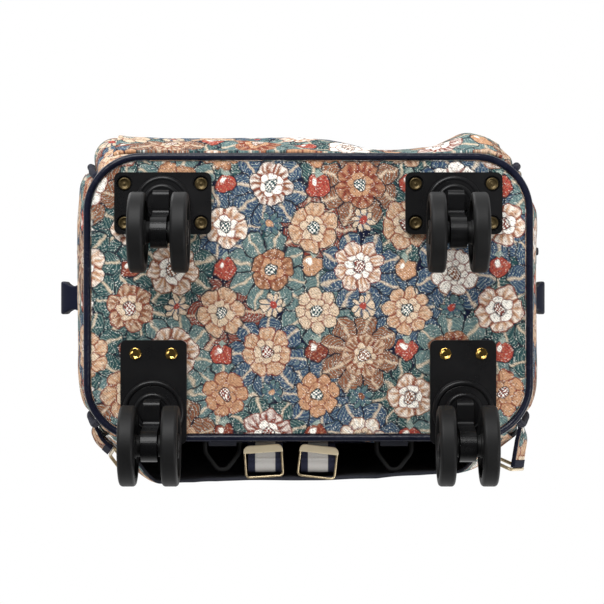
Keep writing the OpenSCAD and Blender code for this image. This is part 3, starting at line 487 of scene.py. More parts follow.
def tapestry_material():
    """Jacquard cloth in coarse threads: blossoms in leaf collars, with fruit and daisies between."""
    s = Shader("tapestry_cloth", roughness=0.95, specular=0.06)
    u0, v0 = s.uv()
    flat = s.vector(u0 * 0.001, v0 * 0.001)
    wob_u = s.noise(flat, 110.0, 1.0) - 0.5
    wob_v = s.noise(s.vector(v0 * 0.001 + 3.1, u0 * 0.001), 110.0, 1.0) - 0.5
    thread_u, thread_v = (u0 / THREAD_W).floor(), (v0 / THREAD_H).floor()
    u = (thread_u + 0.5) * THREAD_W + wob_u * 7.0
    v = (thread_v + 0.5) * THREAD_H + wob_v * 7.0

    def cell(ox, oy, jitter, seed):
        """The place in its cell of a lattice, with three numbers that belong to the cell."""
        row, col = ((v - oy) / CELL_H).floor(), ((u - ox) / CELL_W).floor()
        r1, r2, r3 = s.random(col, row, seed)
        x = u - ox - (col + 0.5) * CELL_W + (r1 - 0.5) * jitter
        y = v - oy - (row + 0.5) * CELL_H + (r2 - 0.5) * jitter
        return x, y, r1, r2, r3

    def polar(x, y, spin):
        return (x * x + y * y).sqrt(), y.op("ARCTAN2", x) + spin * TURN

    def laid(base, d, margin, line, fill):
        """A shape over the base with a line round it; d is the distance in from its edge."""
        return s.mix(d.soft(), s.mix((d + margin).soft(), base, line), fill)

    def collar(base, ox, oy, seed, colors):
        """A ring of broad leaves with ribs, as wide as the gaps between blossoms."""
        x, y, r1, r2, r3 = cell(ox, oy, 5.0, seed)
        r, th = polar(x, y, r3)
        lobes = (r1 * 2.99).floor() + 6.0
        wave = (th * lobes * 0.5).cos().abs()
        d = wave ** 0.7 * 8.5 + 20.5 - r
        fill = s.ramp(r2, colors)
        rib = (r * 0.42 - wave * 2.4).fract() - 0.5
        fill = s.mix((rib.abs() < 0.15) * 0.6, fill, SAGE)
        spine = 0.5 - r * (1.0 - wave).sqrt() / lobes * 1.5
        fill = s.mix(spine.soft() * 0.85, fill, BEIGE)
        part = 0.7 - r * wave / lobes * 2.0
        return laid(base, d, 1.0, INK, s.mix(part.soft(), fill, INK))

    def blossom(base, ox, oy, seed, outer, inner):
        x, y, r1, r2, r3 = cell(ox, oy, 5.0, seed)
        r, th = polar(x, y, r2)
        n = (r3 * 3.99).floor() + 5.0
        size = r1 * 3.0 + 15.0
        petal = (th * n * 0.5).cos().abs()
        d = (petal ** 0.6 * 0.22 + 0.78) * size - r
        light = s.ramp(r3, inner)
        hatch = (th * n * 3.0).cos() * 0.5 + (r / size - 0.55) * 2.2
        fill = s.mix(hatch.clamp() * 0.75, s.ramp(r1, outer), light)
        shade = (petal * r * 0.9).sin()
        fill = s.mix((shade - 0.5).clamp() * 0.9, fill, BROWN)
        fill = s.mix((0.6 - r * petal / n * 2.0).soft() * 0.85, fill, RUST)
        within = (th * n * 0.5 + TURN / 4).cos().abs()
        d_in = (within ** 0.6 * 0.3 + 0.7) * size * 0.55 - r
        fill = laid(fill, d_in, 0.8, RUST, light)
        fill = s.mix((0.5 - r * within / n * 2.0).soft() * d_in.soft() * 0.8, fill, BROWN)
        dots = (x * 2.2).sin() * (y * 2.2).sin()
        seeds = s.mix(dots > 0.1, s.ramp(r2, (RUST, TEAL, BROWN)), CREAM)
        fill = laid(fill, size * 0.24 - r, 0.7, INK, seeds)
        return laid(base, d, 0.9, s.ramp(r2, (RUST, INK, BROWN)), fill)

    def fruit(base, ox, oy, radius, seed):
        x, y, r1, r2, r3 = cell(ox, oy, 4.0, seed)
        d = r3 * 1.5 + radius - (x * x + y * y * 1.15).sqrt()
        net = ((x + y) * 0.9).sin().abs() * ((x - y) * 0.9).sin().abs()
        fill = s.mix((net < 0.12) * 0.5, s.ramp(r1, (RED, RUST, RED, TAN)), TAN)
        gx, gy = x + 2.2, y - 2.4
        fill = s.mix((2.0 - (gx * gx + gy * gy).sqrt()).soft(0.8), fill, CREAM)
        crown = 2.8 - x.abs() * 0.9 - ((y - radius - 1.4) * 0.8).abs()
        return s.mix(crown.soft(), laid(base, d, 1.0, INK, fill), SAGE)

    def daisy(base, ox, oy, size, seed, colors):
        x, y, r1, r2, r3 = cell(ox, oy, 6.0, seed)
        r, th = polar(x, y, r1)
        petal = (th * 4.0).cos().abs()
        fill = s.mix((0.5 - r * petal * 0.25).soft(), s.ramp(r3, colors), DENIM)
        fill = s.mix((size * 0.3 - r).soft(), fill, s.ramp(r2, (RED, TAN, BROWN)))
        return laid(base, (petal * 0.35 + 0.65) * size - r, 0.9, INK, fill)

    color = s.mix(s.noise(flat, 45.0, 2.0) > 0.52, NAVY, TEAL)
    strokes = (u * 0.5 + v * 0.23).sin() * (v * 0.55).sin() > 0.62
    color = s.mix(strokes * 0.8, color, SLATE)
    color = collar(color, 0.0, 0.0, 1.0, (TEAL, SLATE, DENIM, TEAL, RUST))
    color = collar(color, CELL_W / 2, CELL_H / 2, 2.0, (SLATE, TEAL, BROWN, SLATE, DENIM))
    color = daisy(color, CELL_W / 2, 2.0, 8.5, 3.0, (CREAM, BEIGE, SLATE, CREAM))
    color = fruit(color, 0.0, 31.0, 7.0, 4.0)
    color = blossom(color, 0.0, 0.0, 5.0, (TAN, BEIGE, BROWN, TAN, TAN), (CREAM, BEIGE, TAN, BEIGE))
    color = blossom(color, CELL_W / 2, CELL_H / 2, 6.0, (BROWN, TAN, CREAM, RUST, TAN),
                    (TAN, CREAM, BEIGE, CREAM))
    t1, t2, t3 = s.random(thread_u, thread_v, 9.0)
    twill = ((u0 + v0) / 1.9).fract() < 0.5
    color = s.mix((t1 > 0.94) * 0.5, color, CREAM)
    color = s.mix((t2 > 0.9) * 0.55, color, NAVY)
    s.color(s.tint(color, t3 * 0.3 + twill * 0.22 + 0.74))
    weave = (u0 * (math.pi / THREAD_W)).sin().abs() * (v0 * (math.pi / THREAD_H)).sin().abs()
    s.bump(weave + twill * 0.5 + t3 * 0.4, 0.55, 0.0003)
    return s.material


def plain_cloth(name, color, pitch=0.55, light=1.5):
    """Plain weave in one colour with slight streaks."""
    s = Shader(name, roughness=0.92, specular=0.1)
    u, v = s.uv()
    weave = (u * (math.pi / pitch)).sin() * (v * (math.pi / pitch)).sin()
    cloud = s.noise(s.point(), 60.0, 3.0)
    s.color(s.mix((weave * 0.25 + cloud).clamp(), color, tuple(min(1, c * light + 0.004) for c in color)))
    s.bump(weave, 0.5, 0.0002)
    s.bsdf.inputs["Sheen Weight"].default_value = 0.04
    return s.material


def webbing_material():
    """Navy webbing with a broad pale stripe down its middle; u runs along, v across in millimetres."""
    s = Shader("striped_webbing", roughness=0.85, specular=0.25)
    u, v = s.uv()
    across = v.abs()
    rib = (u * 3.6).sin()
    cord = (v * 2.6).sin()
    pale = (7.2 - across).soft(0.5)
    color = s.mix(pale, (0.008, 0.010, 0.028), (0.50, 0.485, 0.46))
    color = s.mix((rib * cord * 0.5 + 0.5) * 0.22, color, (0.08, 0.08, 0.11))
    s.color(color)
    s.bump(rib * cord, 0.6, 0.0004)
    return s.material


def piping_material():
    """Glossy coated navy welt, slightly rumpled where it is drawn tight."""
    s = Shader("navy_welt", roughness=0.3, specular=0.22)
    p = s.point()
    cloud = s.noise(p, 90.0, 3.0)
    s.color(s.mix(cloud, (0.0035, 0.004, 0.010), (0.009, 0.011, 0.024)))
    s.roughness(cloud * 0.2 + 0.16)
    s.bump(s.noise(p, 260.0, 2.0), 0.3, 0.0012)
    return s.material


def leatherette_material():
    s = Shader("navy_leatherette", roughness=0.55, specular=0.02)
    p = s.point()
    grain = s.node("ShaderNodeTexVoronoi", feature="DISTANCE_TO_EDGE")
    s.put(grain.inputs["Vector"], p)
    grain.inputs["Scale"].default_value = 900.0
    cloud = s.noise(p, 40.0, 3.0)
    s.color(s.mix(cloud, (0.004, 0.005, 0.012), (0.009, 0.011, 0.025)))
    s.roughness(cloud * 0.2 + 0.34)
    s.bump(s.val(grain.outputs[0]), 0.25, 0.0003)
    return s.material


def plastic_material(name, dark, light, rough, specular=0.3, grain=700.0):
    """Moulded plastic with a fine grain, faint scuffs and soft worn patches."""
    s = Shader(name, roughness=rough, specular=specular)
    p = s.point()
    cloud = s.noise(p, 55.0, 4.0)
    speck = s.noise(p, 1500.0, 2.0)
    s.color(s.mix((cloud * 0.7 + speck * 0.5 - 0.1).clamp(), dark, light))
    s.roughness(cloud * 0.22 + speck * 0.1 + (rough - 0.16))
    s.bump(s.noise(p, grain, 3.0), 0.09, 0.0004)
    return s.material


def metal_material(name, color, rough, metallic=1.0):
    s = Shader(name, roughness=rough, metallic=metallic)
    p = s.point()
    cloud = s.noise(p, 160.0, 4.0)
    s.color(s.mix(cloud, tuple(c * 0.9 for c in color), color))
    s.roughness(cloud * 0.12 + (rough - 0.06))
    s.bump(s.noise(p, 420.0, 3.0), 0.03, 0.0004)
    return s.material


TAPESTRY = tapestry_material()
LINING = plain_cloth("navy_lining", (0.017, 0.018, 0.024))
WELT = plain_cloth("navy_welt_cloth", (0.006, 0.007, 0.016), 1.2)
PIPING = piping_material()
LEATHERETTE = leatherette_material()
WEBBING = webbing_material()
BLACK = plastic_material("black_plastic", (0.004, 0.004, 0.0045), (0.0075, 0.0075, 0.008), 0.3, 0.22)
# Painted shade: the delta rings' black plastic, darker than the casters' so that the rings stay faint in the
# shade inside the sleeve; it is rougher too.
DULL_SHADED_PLASTIC = plastic_material("dull_plastic_painted_shade", (0.002, 0.002, 0.002), (0.004, 0.004, 0.004), 0.6)
TYRE = plastic_material("wheel_rubber", (0.006, 0.006, 0.006), (0.013, 0.013, 0.0135), 0.52, 0.2, 500.0)
GOLD = metal_material("gold_metal", (0.96, 0.82, 0.57), 0.3, 0.4)
# Painted shade: the buckles' wire frames and the tabs' rings are the gold of the buckles' bars, darkened for
# the shade on their round wire.
SHADED_GOLD = metal_material("gold_wire_painted_shade", (0.50, 0.40, 0.25), 0.25, 0.7)
BRIGHT = metal_material("rivet_gold", (0.68, 0.43, 0.12), 0.10)
# Painted shade: the front rivets are the rear rivets' metal darkened to nearly black, for the shade on them
# in the front plates' counterbores.
SHADED_BRASS = metal_material("rivet_brass_painted_shade", (0.088, 0.062, 0.025), 0.36, 0.75)
STEEL = metal_material("steel", (0.55, 0.55, 0.57), 0.35)
ALUMINIUM = metal_material("anodised_tube", (0.72, 0.72, 0.74), 0.3)
ZIP_CLOTH = plain_cloth("zip_tape_cloth", (0.012, 0.014, 0.026), 0.8)
GREY = plastic_material("button_grey", (0.10, 0.10, 0.105), (0.16, 0.16, 0.165), 0.45)
PAD_CLOTH = plain_cloth("pad_cloth", (0.014, 0.017, 0.036), 0.9)
BOARD = plastic_material("board_grey", (0.06, 0.06, 0.062), (0.10, 0.10, 0.10), 0.7)


def coat(node, material):
    obj = NODES[node]
    obj.data.materials.clear()
    obj.data.materials.append(material)


# Body cloth: four walls, the top and the base, slack between their seams

def wall_cloth(k, name):
    """A wall's cloth from seam to seam: creased, puckered at its edges, with slack of its own."""
    cols = 220 if k % 2 else 150
    t = np.linspace(0, 1, cols)
    h = np.concatenate([np.linspace(0, 60, 50)[:-1], np.linspace(60, FLAT_HIGH, 110)[:-1],
                        FLAT_HIGH + SHOULDER * np.sin(np.radians(np.linspace(0, 60, 24)))])
    p, out, length = wall_grid(k, t, h)
    tt, hh = np.meshgrid(t, h)
    edge = np.minimum(tt, 1 - tt) * length
    rise = smooth(hh / 22) * smooth(edge / 14) * smooth((SEAM_H - hh) / 14)
    gather = np.sin(tt * length / 12 + 5 * noise(p, 40.0, 21)) * (0.6 + 0.6 * noise(p, 55.0, 23))
    pucker = gather * bell(hh, 16, 13)
    pucker += 0.9 * np.sin(hh / 8 + 3 * noise(p, 30.0, 22)) * bell(edge, 11, 9)
    offset = creases(p) * rise + 0.6 * pucker * smooth(hh / 12) * smooth(edge / 6) - 0.4
    full = 2.0 if k == 3 else 0.0
    for corner, gap in ((k, tt * length), (k + 1, (1 - tt) * length)):
        offset -= drawn_in(corner, hh) * bell(gap, 0, 7)
        offset += full * bell(gap, 24, 11) * smooth(hh / 45) * smooth((300 - hh) / 120)
    x, y = p[..., 0], p[..., 1]
    slack = smooth(edge / 16) * smooth(hh / 24)
    lower = slack * (1 - smooth((hh - 150) / 150))
    # The front's dents, a swelling low on the back, and the sides drawn in, the right one most at the front
    if k == 3:
        offset += front_slack(x, hh) * slack
    if k == 1:
        offset += 8.5 * bell(x, 52, 34) * bell(hh, 38, 15)
    if k == 0:
        offset -= 1.5 * smooth(edge / 60) * bell(hh, 90, 110)
        offset -= 9.0 * smooth((-y - 62) / 26) * lower
    if k in (0, 2):
        offset -= 1.8 * (smooth((y - 50) / 30) + smooth((-y - 55) / 30)) * lower
    p = p + out * offset[..., None]
    p[..., 1] += rear_swell(x, y, hh)
    arc = run(p[:, cols // 2])
    uv = stacked((t * length)[None] + 37.0 * k, arc[:, None] + 11.0 * k)
    obj = grid_object(name, p, uv, [TAPESTRY])
    length / 1000
    return obj


for wall, wall_name in enumerate(("right", "back", "left", "front")):
    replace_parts(wall_cloth(wall, "cloth_" + wall_name), wall_name + "_panel")


def top_cloth():
    """The top panel: outlines that close in over the shoulder, then draw together to the middle."""
    t = np.linspace(0, 1, 41)[:-1]
    rings = [np.concatenate([wall_grid(k, t, [h])[0][0] for k in range(4)])
             for h in FLAT_HIGH + SHOULDER * np.sin(np.radians(np.linspace(60, 90, 8)))]
    middle = np.array([0, 4.0, TOP_Z])
    rings += [lerp(middle, rings[7], w) for w in np.linspace(1, 0, 34)[1:]]
    p = np.array(rings)
    inner = np.linspace(0, 1, len(p))[:, None]
    p[..., 2] += (creases(p) * 0.8 - 0.3) * smooth(inner * 5) - 0.3
    uv = p[..., :2] + [400, 90]
    faces = grid_faces(*p.shape[:2], loop_cols=True)
    obj = make_mesh("cloth_top", p, faces, uv, [TAPESTRY], "bag")
    return obj


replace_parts(top_cloth(), "top_panel")


def base_cloth():
    """The base panel, drawn tight over its board and a little full between the caster plates."""
    a, b = np.meshgrid(np.linspace(-1, 1, 200), np.linspace(-1, 1, 130))
    x, y = a * BASE_W / 2, b * BASE_D / 2
    half_x, half_y = BASE_W / 2 - BASE_R, BASE_D / 2 - BASE_R
    ox, oy = np.abs(x) - half_x, np.abs(y) - half_y
    corner = (ox > 0) & (oy > 0)
    fit = np.maximum(ox, oy) / np.maximum(np.hypot(ox, oy), 1e-9)
    x = np.where(corner, np.sign(x) * (half_x + ox * fit), x)
    y = np.where(corner, np.sign(y) * (half_y + oy * fit), y)
    p = stacked(x, y, CASTER_H)
    inside = 1 - np.maximum(np.abs(a), np.abs(b))
    keep = np.ones_like(x)
    for cx, cy, w, d in (FRONT_PLATE, REAR_PLATE):
        gap = np.maximum(np.abs(np.abs(x) - cx) - w / 2, np.abs(y - cy) - d / 2)
        keep = np.minimum(keep, smooth((gap - 1) / 10))
    sag = (0.9 + 0.5 * noise(p, 70.0, 31) + 0.25 * noise(p, 22.0, 32)) * keep * smooth(inside / 0.1)
    p[..., 2] += 0.25 - sag
    uv = stacked(x + 160, 100 - y)
    obj = grid_object("cloth_base", p, uv, [TAPESTRY], flip=True)
    return obj


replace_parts(base_cloth(), "base_panel")
coat("base_board", BOARD)

# Piping

PIPE = 5.2
REACH = PIPE / 2 + 0.4


def on_corner(k, h, degrees, lift, pull=0.0):
    """A point of a welt's middle on a corner, and its outward direction."""
    c = corner_centre(k, h)
    a, b = math.radians(degrees), math.radians(lift)
    r = corner_at(h)
    out = np.array([math.cos(a) * math.cos(b), math.sin(a) * math.cos(b), math.sin(b)])
    p = np.array([c[0] + r * math.cos(a), c[1] + r * math.sin(a), CASTER_H + h]) + (REACH - pull) * out
    p[1] += rear_swell(p[0], p[1], h)
    return p, out


def base_welt():
    pts, outs = [], []
    for k in range(4):
        for d in np.linspace(90 * k - 90, 90 * k, 19):
            p, o = on_corner(k, 0.0, d, 0)
            pts.append(p)
            outs.append(o)
        nxt = on_corner(k + 1, 0.0, 90 * k, 0)[0]
        for w in np.linspace(0, 1, 40)[1:-1]:
            pts.append(lerp(p, nxt, w))
            outs.append(o)
    pts = np.array(pts)
    pts[:, 2] += 0.25 * noise(pts, 30.0, 41)
    return sweep("welt_base", pts, outs, round_section(PIPE), [PIPING], loop=True)


def wall_welt(k, name):
    """The welt up one corner seam, over the top edge of a wall and down the other corner."""
    bend, high = 12.0, SEAM_H
    turn = math.degrees(bend / corner_at(high))

    def rising(corner, seam, way):
        path = [(corner, h, seam) for h in np.linspace(2.0, FLAT_HIGH, 60)]
        path += [(corner, h, seam) for h in np.linspace(FLAT_HIGH, high - bend, 10)[1:-1]]
        path += [(corner, high - bend + bend * math.sin(b), seam + way * turn * (1 - math.cos(b)))
                 for b in np.radians(np.linspace(0, 80, 7))]
        return path + [(corner, high, d) for d in np.linspace(seam + way * turn, 90 * k, 8)]

    both = []
    for corner, h, d in rising(k, SEAMS[k], 1) + rising(k + 1, SEAMS[k + 1], -1)[::-1]:
        lift = 30 * unit((h - FLAT_HIGH) / (high - FLAT_HIGH))
        both.append(on_corner(corner, h, d, lift, drawn_in(corner, h)))
    pts, outs = zip(*both)
    return sweep(name, pts, outs, round_section(PIPE, 12), [WELT])


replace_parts(base_welt(), "base_piping")
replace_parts(wall_welt(3, "welt_front"), "front_piping")
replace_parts(wall_welt(1, "welt_back"), "back_piping")

# Front pocket and back sleeve

POCKET_W, POCKET_LOW, POCKET_H, POCKET_DEPTH, POCKET_EDGE = 283.4, 22.0, 238.0, 4.0, 22.0
WALL_T, SOFT_GAP = 2.5, 0.4


def pocket_cloth():
    x = np.linspace(-POCKET_W / 2, POCKET_W / 2, 170)
    h = np.linspace(POCKET_LOW, POCKET_LOW + POCKET_H, 150)
    x, h = np.meshgrid(x, h)
    fill = smooth((POCKET_W / 2 - np.abs(x)) / POCKET_EDGE)
    fill = fill * smooth(np.minimum(h - POCKET_LOW, POCKET_LOW + POCKET_H - h) / POCKET_EDGE)
    y = -(wall_y(x, h, front_at(h)) + SOFT_GAP + WALL_T + POCKET_DEPTH * fill)
    p = stacked(x, y, CASTER_H + h)
    slack = front_slack(x, h) * smooth((h - 12) / 24) * smooth((157 - np.abs(x)) / 16)
    p[..., 1] -= (creases(p) * 1.6 - 0.4) * fill + slack
    uv = stacked(x + 300, h + 20)
    obj = grid_object("cloth_pocket", p, uv, [TAPESTRY, LINING], thick=WALL_T)
    return obj


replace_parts(pocket_cloth(), "front_pocket")

SLEEVE_HEM, SLEEVE_TOP, SLEEVE_DEPTH, SLEEVE_TOP_DEPTH = 14.0, 385.0, 30.5, 15.0
GUSSET, SLEEVE_T = 36.0, 2.2


def sleeve_half(h):
    return half_w(h) - corner_at(h) * (1 - math.cos(math.radians(BACK_SEAM + SLEEVE_TURN)))


def sleeve_y(x, h):
    fill = smooth((sleeve_half(h) - np.abs(x)) / GUSSET)
    deep = lerp(SLEEVE_DEPTH, SLEEVE_TOP_DEPTH, unit((h - SLEEVE_HEM) / (SLEEVE_TOP - SLEEVE_HEM)))
    deep = deep * smooth((SLEEVE_TOP - h) / 24)
    return wall_y(x, h, back_at(h)) + SOFT_GAP + SLEEVE_T + deep * fill


def sleeve_cloth():
    s, h = np.meshgrid(np.linspace(1, -1, 190), np.linspace(SLEEVE_HEM, SLEEVE_TOP, 170))
    x = s * sleeve_half(h)
    p = stacked(x, sleeve_y(x, h), CASTER_H + h)
    inner = smooth((1 - np.abs(s)) / 0.15) * smooth((SLEEVE_TOP - h) / 30)
    p[..., 1] += (creases(p) - 0.2) * inner
    hang = 1.8 + 2.4 * bell(x, -108, 24) - 4.6 * smooth((x - 10) / 95)
    p[..., 1] += hang * bell(h, SLEEVE_HEM, 90) * smooth((1 - np.abs(s)) / 0.12)
    p[..., 1] += rear_swell(x, p[..., 1], h)
    uv = stacked(520 - x, h + 60)
    obj = grid_object("cloth_sleeve", p, uv, [TAPESTRY, LINING], thick=SLEEVE_T)
    obj.modifiers["thick"].material_offset_rim = 1
    across = 2 * float(sleeve_half(110.0)) + 2 * 12.0
    return obj


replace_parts(sleeve_cloth(), "back_sleeve")

# Handles

HANDLE_W, HANDLE_T, HANDLE_GAP = 27.2, 4.0, 0.2
SIDE_HANDLE_LOW, SIDE_HANDLE_L, TOP_HANDLE_L, TOP_HANDLE_Y = 167.0, 130.0, 170.0, 22.0


def bow(t, height):
    return height * smooth((np.minimum(t, 1 - t) - 0.12) / 0.26)


def waist(t, low, high):
    return bell(t, low, 0.065) + bell(t, high, 0.065)


def handle(name, path, out, node, pinch):
    """A carrying strap; pinch is how much narrower and thicker it is where it stands off the bag."""
    section = np.array([strap_section(HANDLE_W * (1 - n), HANDLE_T * (1 + 0.6 * n), 1.5) for n in pinch])
    obj = sweep(name, path, out, section, [LEATHERETTE])
    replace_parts(obj, node)


T = np.linspace(0, 1, 70)
stand = HANDLE_GAP + HANDLE_T / 2
for (side, label), lift in zip(SIDES, (21.8, 14.2)):
    reach = half_w(SIDE_HANDLE_LOW + SIDE_HANDLE_L / 2) + stand + bow(T, lift)
    route = stacked(side * reach, 0, CASTER_H + SIDE_HANDLE_LOW + SIDE_HANDLE_L * T)
    handle("strap_side_" + label, route, [side, 0, 0], "side_handle_" + label, 0.3 * waist(T, 0.25, 0.71))
route = stacked(TOP_HANDLE_L * (T - 0.5), TOP_HANDLE_Y, TOP_Z + stand + bow(T, 26.0))
handle("strap_top", route, [0, 0, 1], "top_handle", 0.15 * waist(T, 0.24, 0.76))

# Straps in the sleeve

PAD_LOW, PAD_HIGH, PAD_HALF, PAD_T = 80.0, 355.0, 31.0, 9.0


def shoulder_pad(x, name, node):
    """A padded strap laid flat on the back wall, thinner at its edges and along its stitching."""
    s, h = np.meshgrid(np.linspace(-1, 1, 33), np.linspace(PAD_LOW, PAD_HIGH, 110))
    taper = unit(np.minimum(h - PAD_LOW, PAD_HIGH - h) / 6)
    round_off = np.sqrt(1 - (1 - taper) ** 2)
    edge = np.sqrt(1 - unit((np.abs(s) - 0.8) / 0.2) ** 2)
    channel = 1 - 0.35 * bell(np.abs(s), 0.72, 0.05)
    uneven = 1 + 0.05 * noise(stacked(s * PAD_HALF, h, h), 20.0, 51)
    thick = PAD_T * edge * channel * round_off * uneven
    px = x + s * PAD_HALF * (0.92 + 0.08 * round_off)
    y = back_at(110.0) + 0.3 + (PAD_T - thick) * 0.25
    front = stacked(px, y, CASTER_H + h)
    back = stacked(px, y + thick, CASTER_H + h)
    rows, cols = s.shape
    n = rows * cols
    faces = grid_faces(rows, cols) + [tuple(i + n for i in f[::-1]) for f in grid_faces(rows, cols)]
    rim = [j * cols for j in range(rows)] + [(rows - 1) * cols + i for i in range(1, cols)]
    rim += [j * cols + cols - 1 for j in range(rows - 2, -1, -1)] + list(range(cols - 2, 0, -1))
    for i, a in enumerate(rim):
        b = rim[(i + 1) % len(rim)]
        faces.append((a, b, b + n, a + n))
    uv = stacked(px, h)
    obj = make_mesh(name, [front, back], faces, [uv, uv], [PAD_CLOTH], "bag")
    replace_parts(obj, node)


shoulder_pad(-44.0, "pad_left", "shoulder_strap_left")
shoulder_pad(24.0, "pad_right", "shoulder_strap_right")

WEBBING_W, WEBBING_T, WEBBING_BEND = 25.0, 1.5, 6.0
W_FRONT = back_at(SLEEVE_HEM) + 7
W_BACK = back_at(SLEEVE_HEM) + SOFT_GAP + SLEEVE_DEPTH - 2.4
W_LOW = SLEEVE_HEM + 1.6


def webbing(x, name):
    """A strap down the wall, under the sleeve's hem with a soft fold, and up the sleeve's inside."""
    half, low = WEBBING_T / 2, W_LOW + WEBBING_BEND

    def bend(y, first):
        return [(y + (WEBBING_BEND - half) * math.cos(a), low + (WEBBING_BEND - half) * math.sin(a))
                for a in np.radians(np.linspace(first, first + 90, 13))]

    yz = [(W_FRONT + half, v) for v in np.linspace(79.5, low + 2, 30)] + bend(W_FRONT + WEBBING_BEND, 180)
    for w in np.linspace(0, 1, 24)[1:-1]:
        fold = 0.5 * bell(w, 0.8, 0.12) - 0.9 * bell(w, 0.58, 0.1)
        yz.append((lerp(W_FRONT + WEBBING_BEND, W_BACK - WEBBING_BEND, w), W_LOW + half + fold))
    yz += bend(W_BACK - WEBBING_BEND, 270) + [(W_BACK - half, v) for v in np.linspace(low + 2, 58, 16)]
    path, outs = strip_path(x, CASTER_H, yz)
    obj = sweep(name, path, outs, strap_section(WEBBING_W, WEBBING_T, 0.5), [WEBBING])
    mesh = obj.data
    layer = mesh.uv_layers["UVMap"].data
    for loop in mesh.loops:
        co = mesh.vertices[loop.vertex_index].co
        layer[loop.index].uv = (layer[loop.index].uv[0], co.x - x / 1000)
    return obj


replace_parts(webbing(-31.0, "webbing_left"), "strap_webbing")
webbing(7.0, "webbing_right")


def rounded_path(corners, radii):
    """Points round a flat polygon with its corners rounded."""
    pts = []
    c = np.asarray(corners, float)
    for i, (b, r) in enumerate(zip(c, radii)):
        a, d = c[i - 1], c[(i + 1) % len(c)]
        p0, p1 = b + normed(a - b) * r, b + normed(d - b) * r
        for w in np.linspace(0, 1, 6):
            pts.append((1 - w) ** 2 * p0 + 2 * w * (1 - w) * b + w * w * p1)
    return np.array(pts)


def wire_loop(name, corners, radii, section, material, body="bag"):
    path = rounded_path(corners, radii)
    return sweep(name, path, path - path.mean(0), section, [material], body, loop=True)


def slide_buckle(x, name, tilt, down):
    """A wire frame with a broad bar, turned by tilt degrees and moved down towards the back."""
    y = (W_FRONT + W_BACK) / 2 + down
    z = CASTER_H + W_LOW - 1.4
    w, l = 26.6 / 2, 22.0 / 2
    c, s = math.cos(math.radians(tilt)), math.sin(math.radians(tilt))

    def at(px, py):
        return (x + c * px - s * py, y + s * px + c * py, z)

    corners = [at(-w, -l), at(w, -l), at(w, l), at(-w, l)]
    # The frame's darker gold is painted shade.
    wire = wire_loop(name, corners, [4.5, 4.5, 3.0, 3.0], strap_section(1.9, 1.6, 0.7), SHADED_GOLD)
    px = np.linspace(-w - 0.8, w + 0.8, 61)
    edge = unit((np.abs(px) - w + 3.4) / 4.2)
    deep = 5.6 - 4.2 * (1 - np.sqrt(1 - edge ** 2 * 0.95))
    section = np.array([strap_section(d, 2.6, 0.6) - [0, d / 2] for d in deep])
    sweep(name + "_bar", [at(v, 4.7 - l) for v in px], [0, 0, -1.0], section, [GOLD])
    return wire


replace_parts(slide_buckle(-32.0, "buckle_left", -3.7, 2.4), "slide_buckles")
slide_buckle(6.8, "buckle_right", 6.5, 2.8)

RING_X, RING_Y, RING_Z = 62.0, back_at(20.0) + 5.6, 90.0
for side, label in SIDES:
    w, l = 12.6, 20.5
    shield = [(-w, 0), (w, 0), (w, 8), (3.2, l), (-3.2, l), (-w, 8)]
    shield = [(RING_X * side + px, RING_Y + py, RING_Z) for px, py in shield]
    # The rings' darker plastic is painted shade.
    ring = wire_loop("ring_" + label, shield, [1.5, 1.5, 3, 3, 3, 3], strap_section(3.0, 3.4, 1.2),
                     DULL_SHADED_PLASTIC, "ring_" + label)
    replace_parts(ring, "delta_ring_" + label)

# Corner tabs with their metal rings, and the loops that hold the plastic rings

TAB_H, TAB_REACH, TAB_W, TAB_POINTS = 34.0, 37.0, 20.0, 24
UP = np.array([0, 0, 1.0])
h_tab = TAB_H + 20
c_tab = corner_centre(1, h_tab)
a_tab = math.radians(BACK_SEAM + TAB_TURN)
r_tab = corner_at(h_tab) + 0.6
TAB_START = np.array([c_tab[0] + r_tab * math.cos(a_tab), c_tab[1] + r_tab * math.sin(a_tab)])


def corner_tab(steps, side, name, twist):
    """A folded strip of the body's cloth from a corner seam, turning a little as it stands out."""
    line = relaxed([TAB_START * [side, 1] + TAB_REACH * np.array(p) for p in steps], TAB_POINTS, 6)
    path = np.concatenate([line, np.full((TAB_POINTS, 1), CASTER_H + TAB_H + 10)], 1)
    along = np.gradient(path, axis=0)
    flat = normed(np.cross(along, UP))
    turn = np.radians(twist) * (0.4 + 0.6 * smooth(np.linspace(0, 2.5, TAB_POINTS)))[:, None]
    outs = flat * np.cos(turn) + UP * np.sin(turn)
    obj = sweep(name, path, outs, strap_section(TAB_W, 2.6, 0.8, 0.3), [TAPESTRY])
    across = np.cross(outs, normed(along))
    sweep(name + "_edge", path - 9.4 * across, outs, strap_section(2.0, 2.8, 0.7), [WELT])
    end = strap_section(TAB_W + 0.4, 3.2, 0.7)
    sweep(name + "_end", path[-5:], outs[-5:], end, [WELT])
    return obj, path, across[-1]


def link(path, along, up, name):
    """A metal ring through a tab's end, lying along a direction."""
    start = path[-1] + 1.5 * normed(path[-1] - path[-2])
    far = start + 22 * np.array([*along, 0.0])
    up = 13.5 * up
    # The ring's darker gold is painted shade.
    return wire_loop(name, [start - up, far - up * 0.9, far + up * 0.9, start + up],
                     [3.0, 7.0, 7.0, 3.0], round_section(2.6, 10), SHADED_GOLD)


tab_r, path_r, up_r = corner_tab([(0, 0), (0.02, 0.29), (-0.03, 0.57), (-0.07, 0.86)], 1, "tab_right", -27)
tab_l, path_l, up_l = corner_tab([(0, 0), (0.0, 0.16), (0.08, 0.34), (0.30, 0.53)], -1, "tab_left", 20)
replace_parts(tab_r, "strap_tabs")
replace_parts(link(path_r, (-0.91, -0.41), up_r, "link_right"), "strap_rings")
link(path_l, (0.60, 0.80), up_l, "link_left")


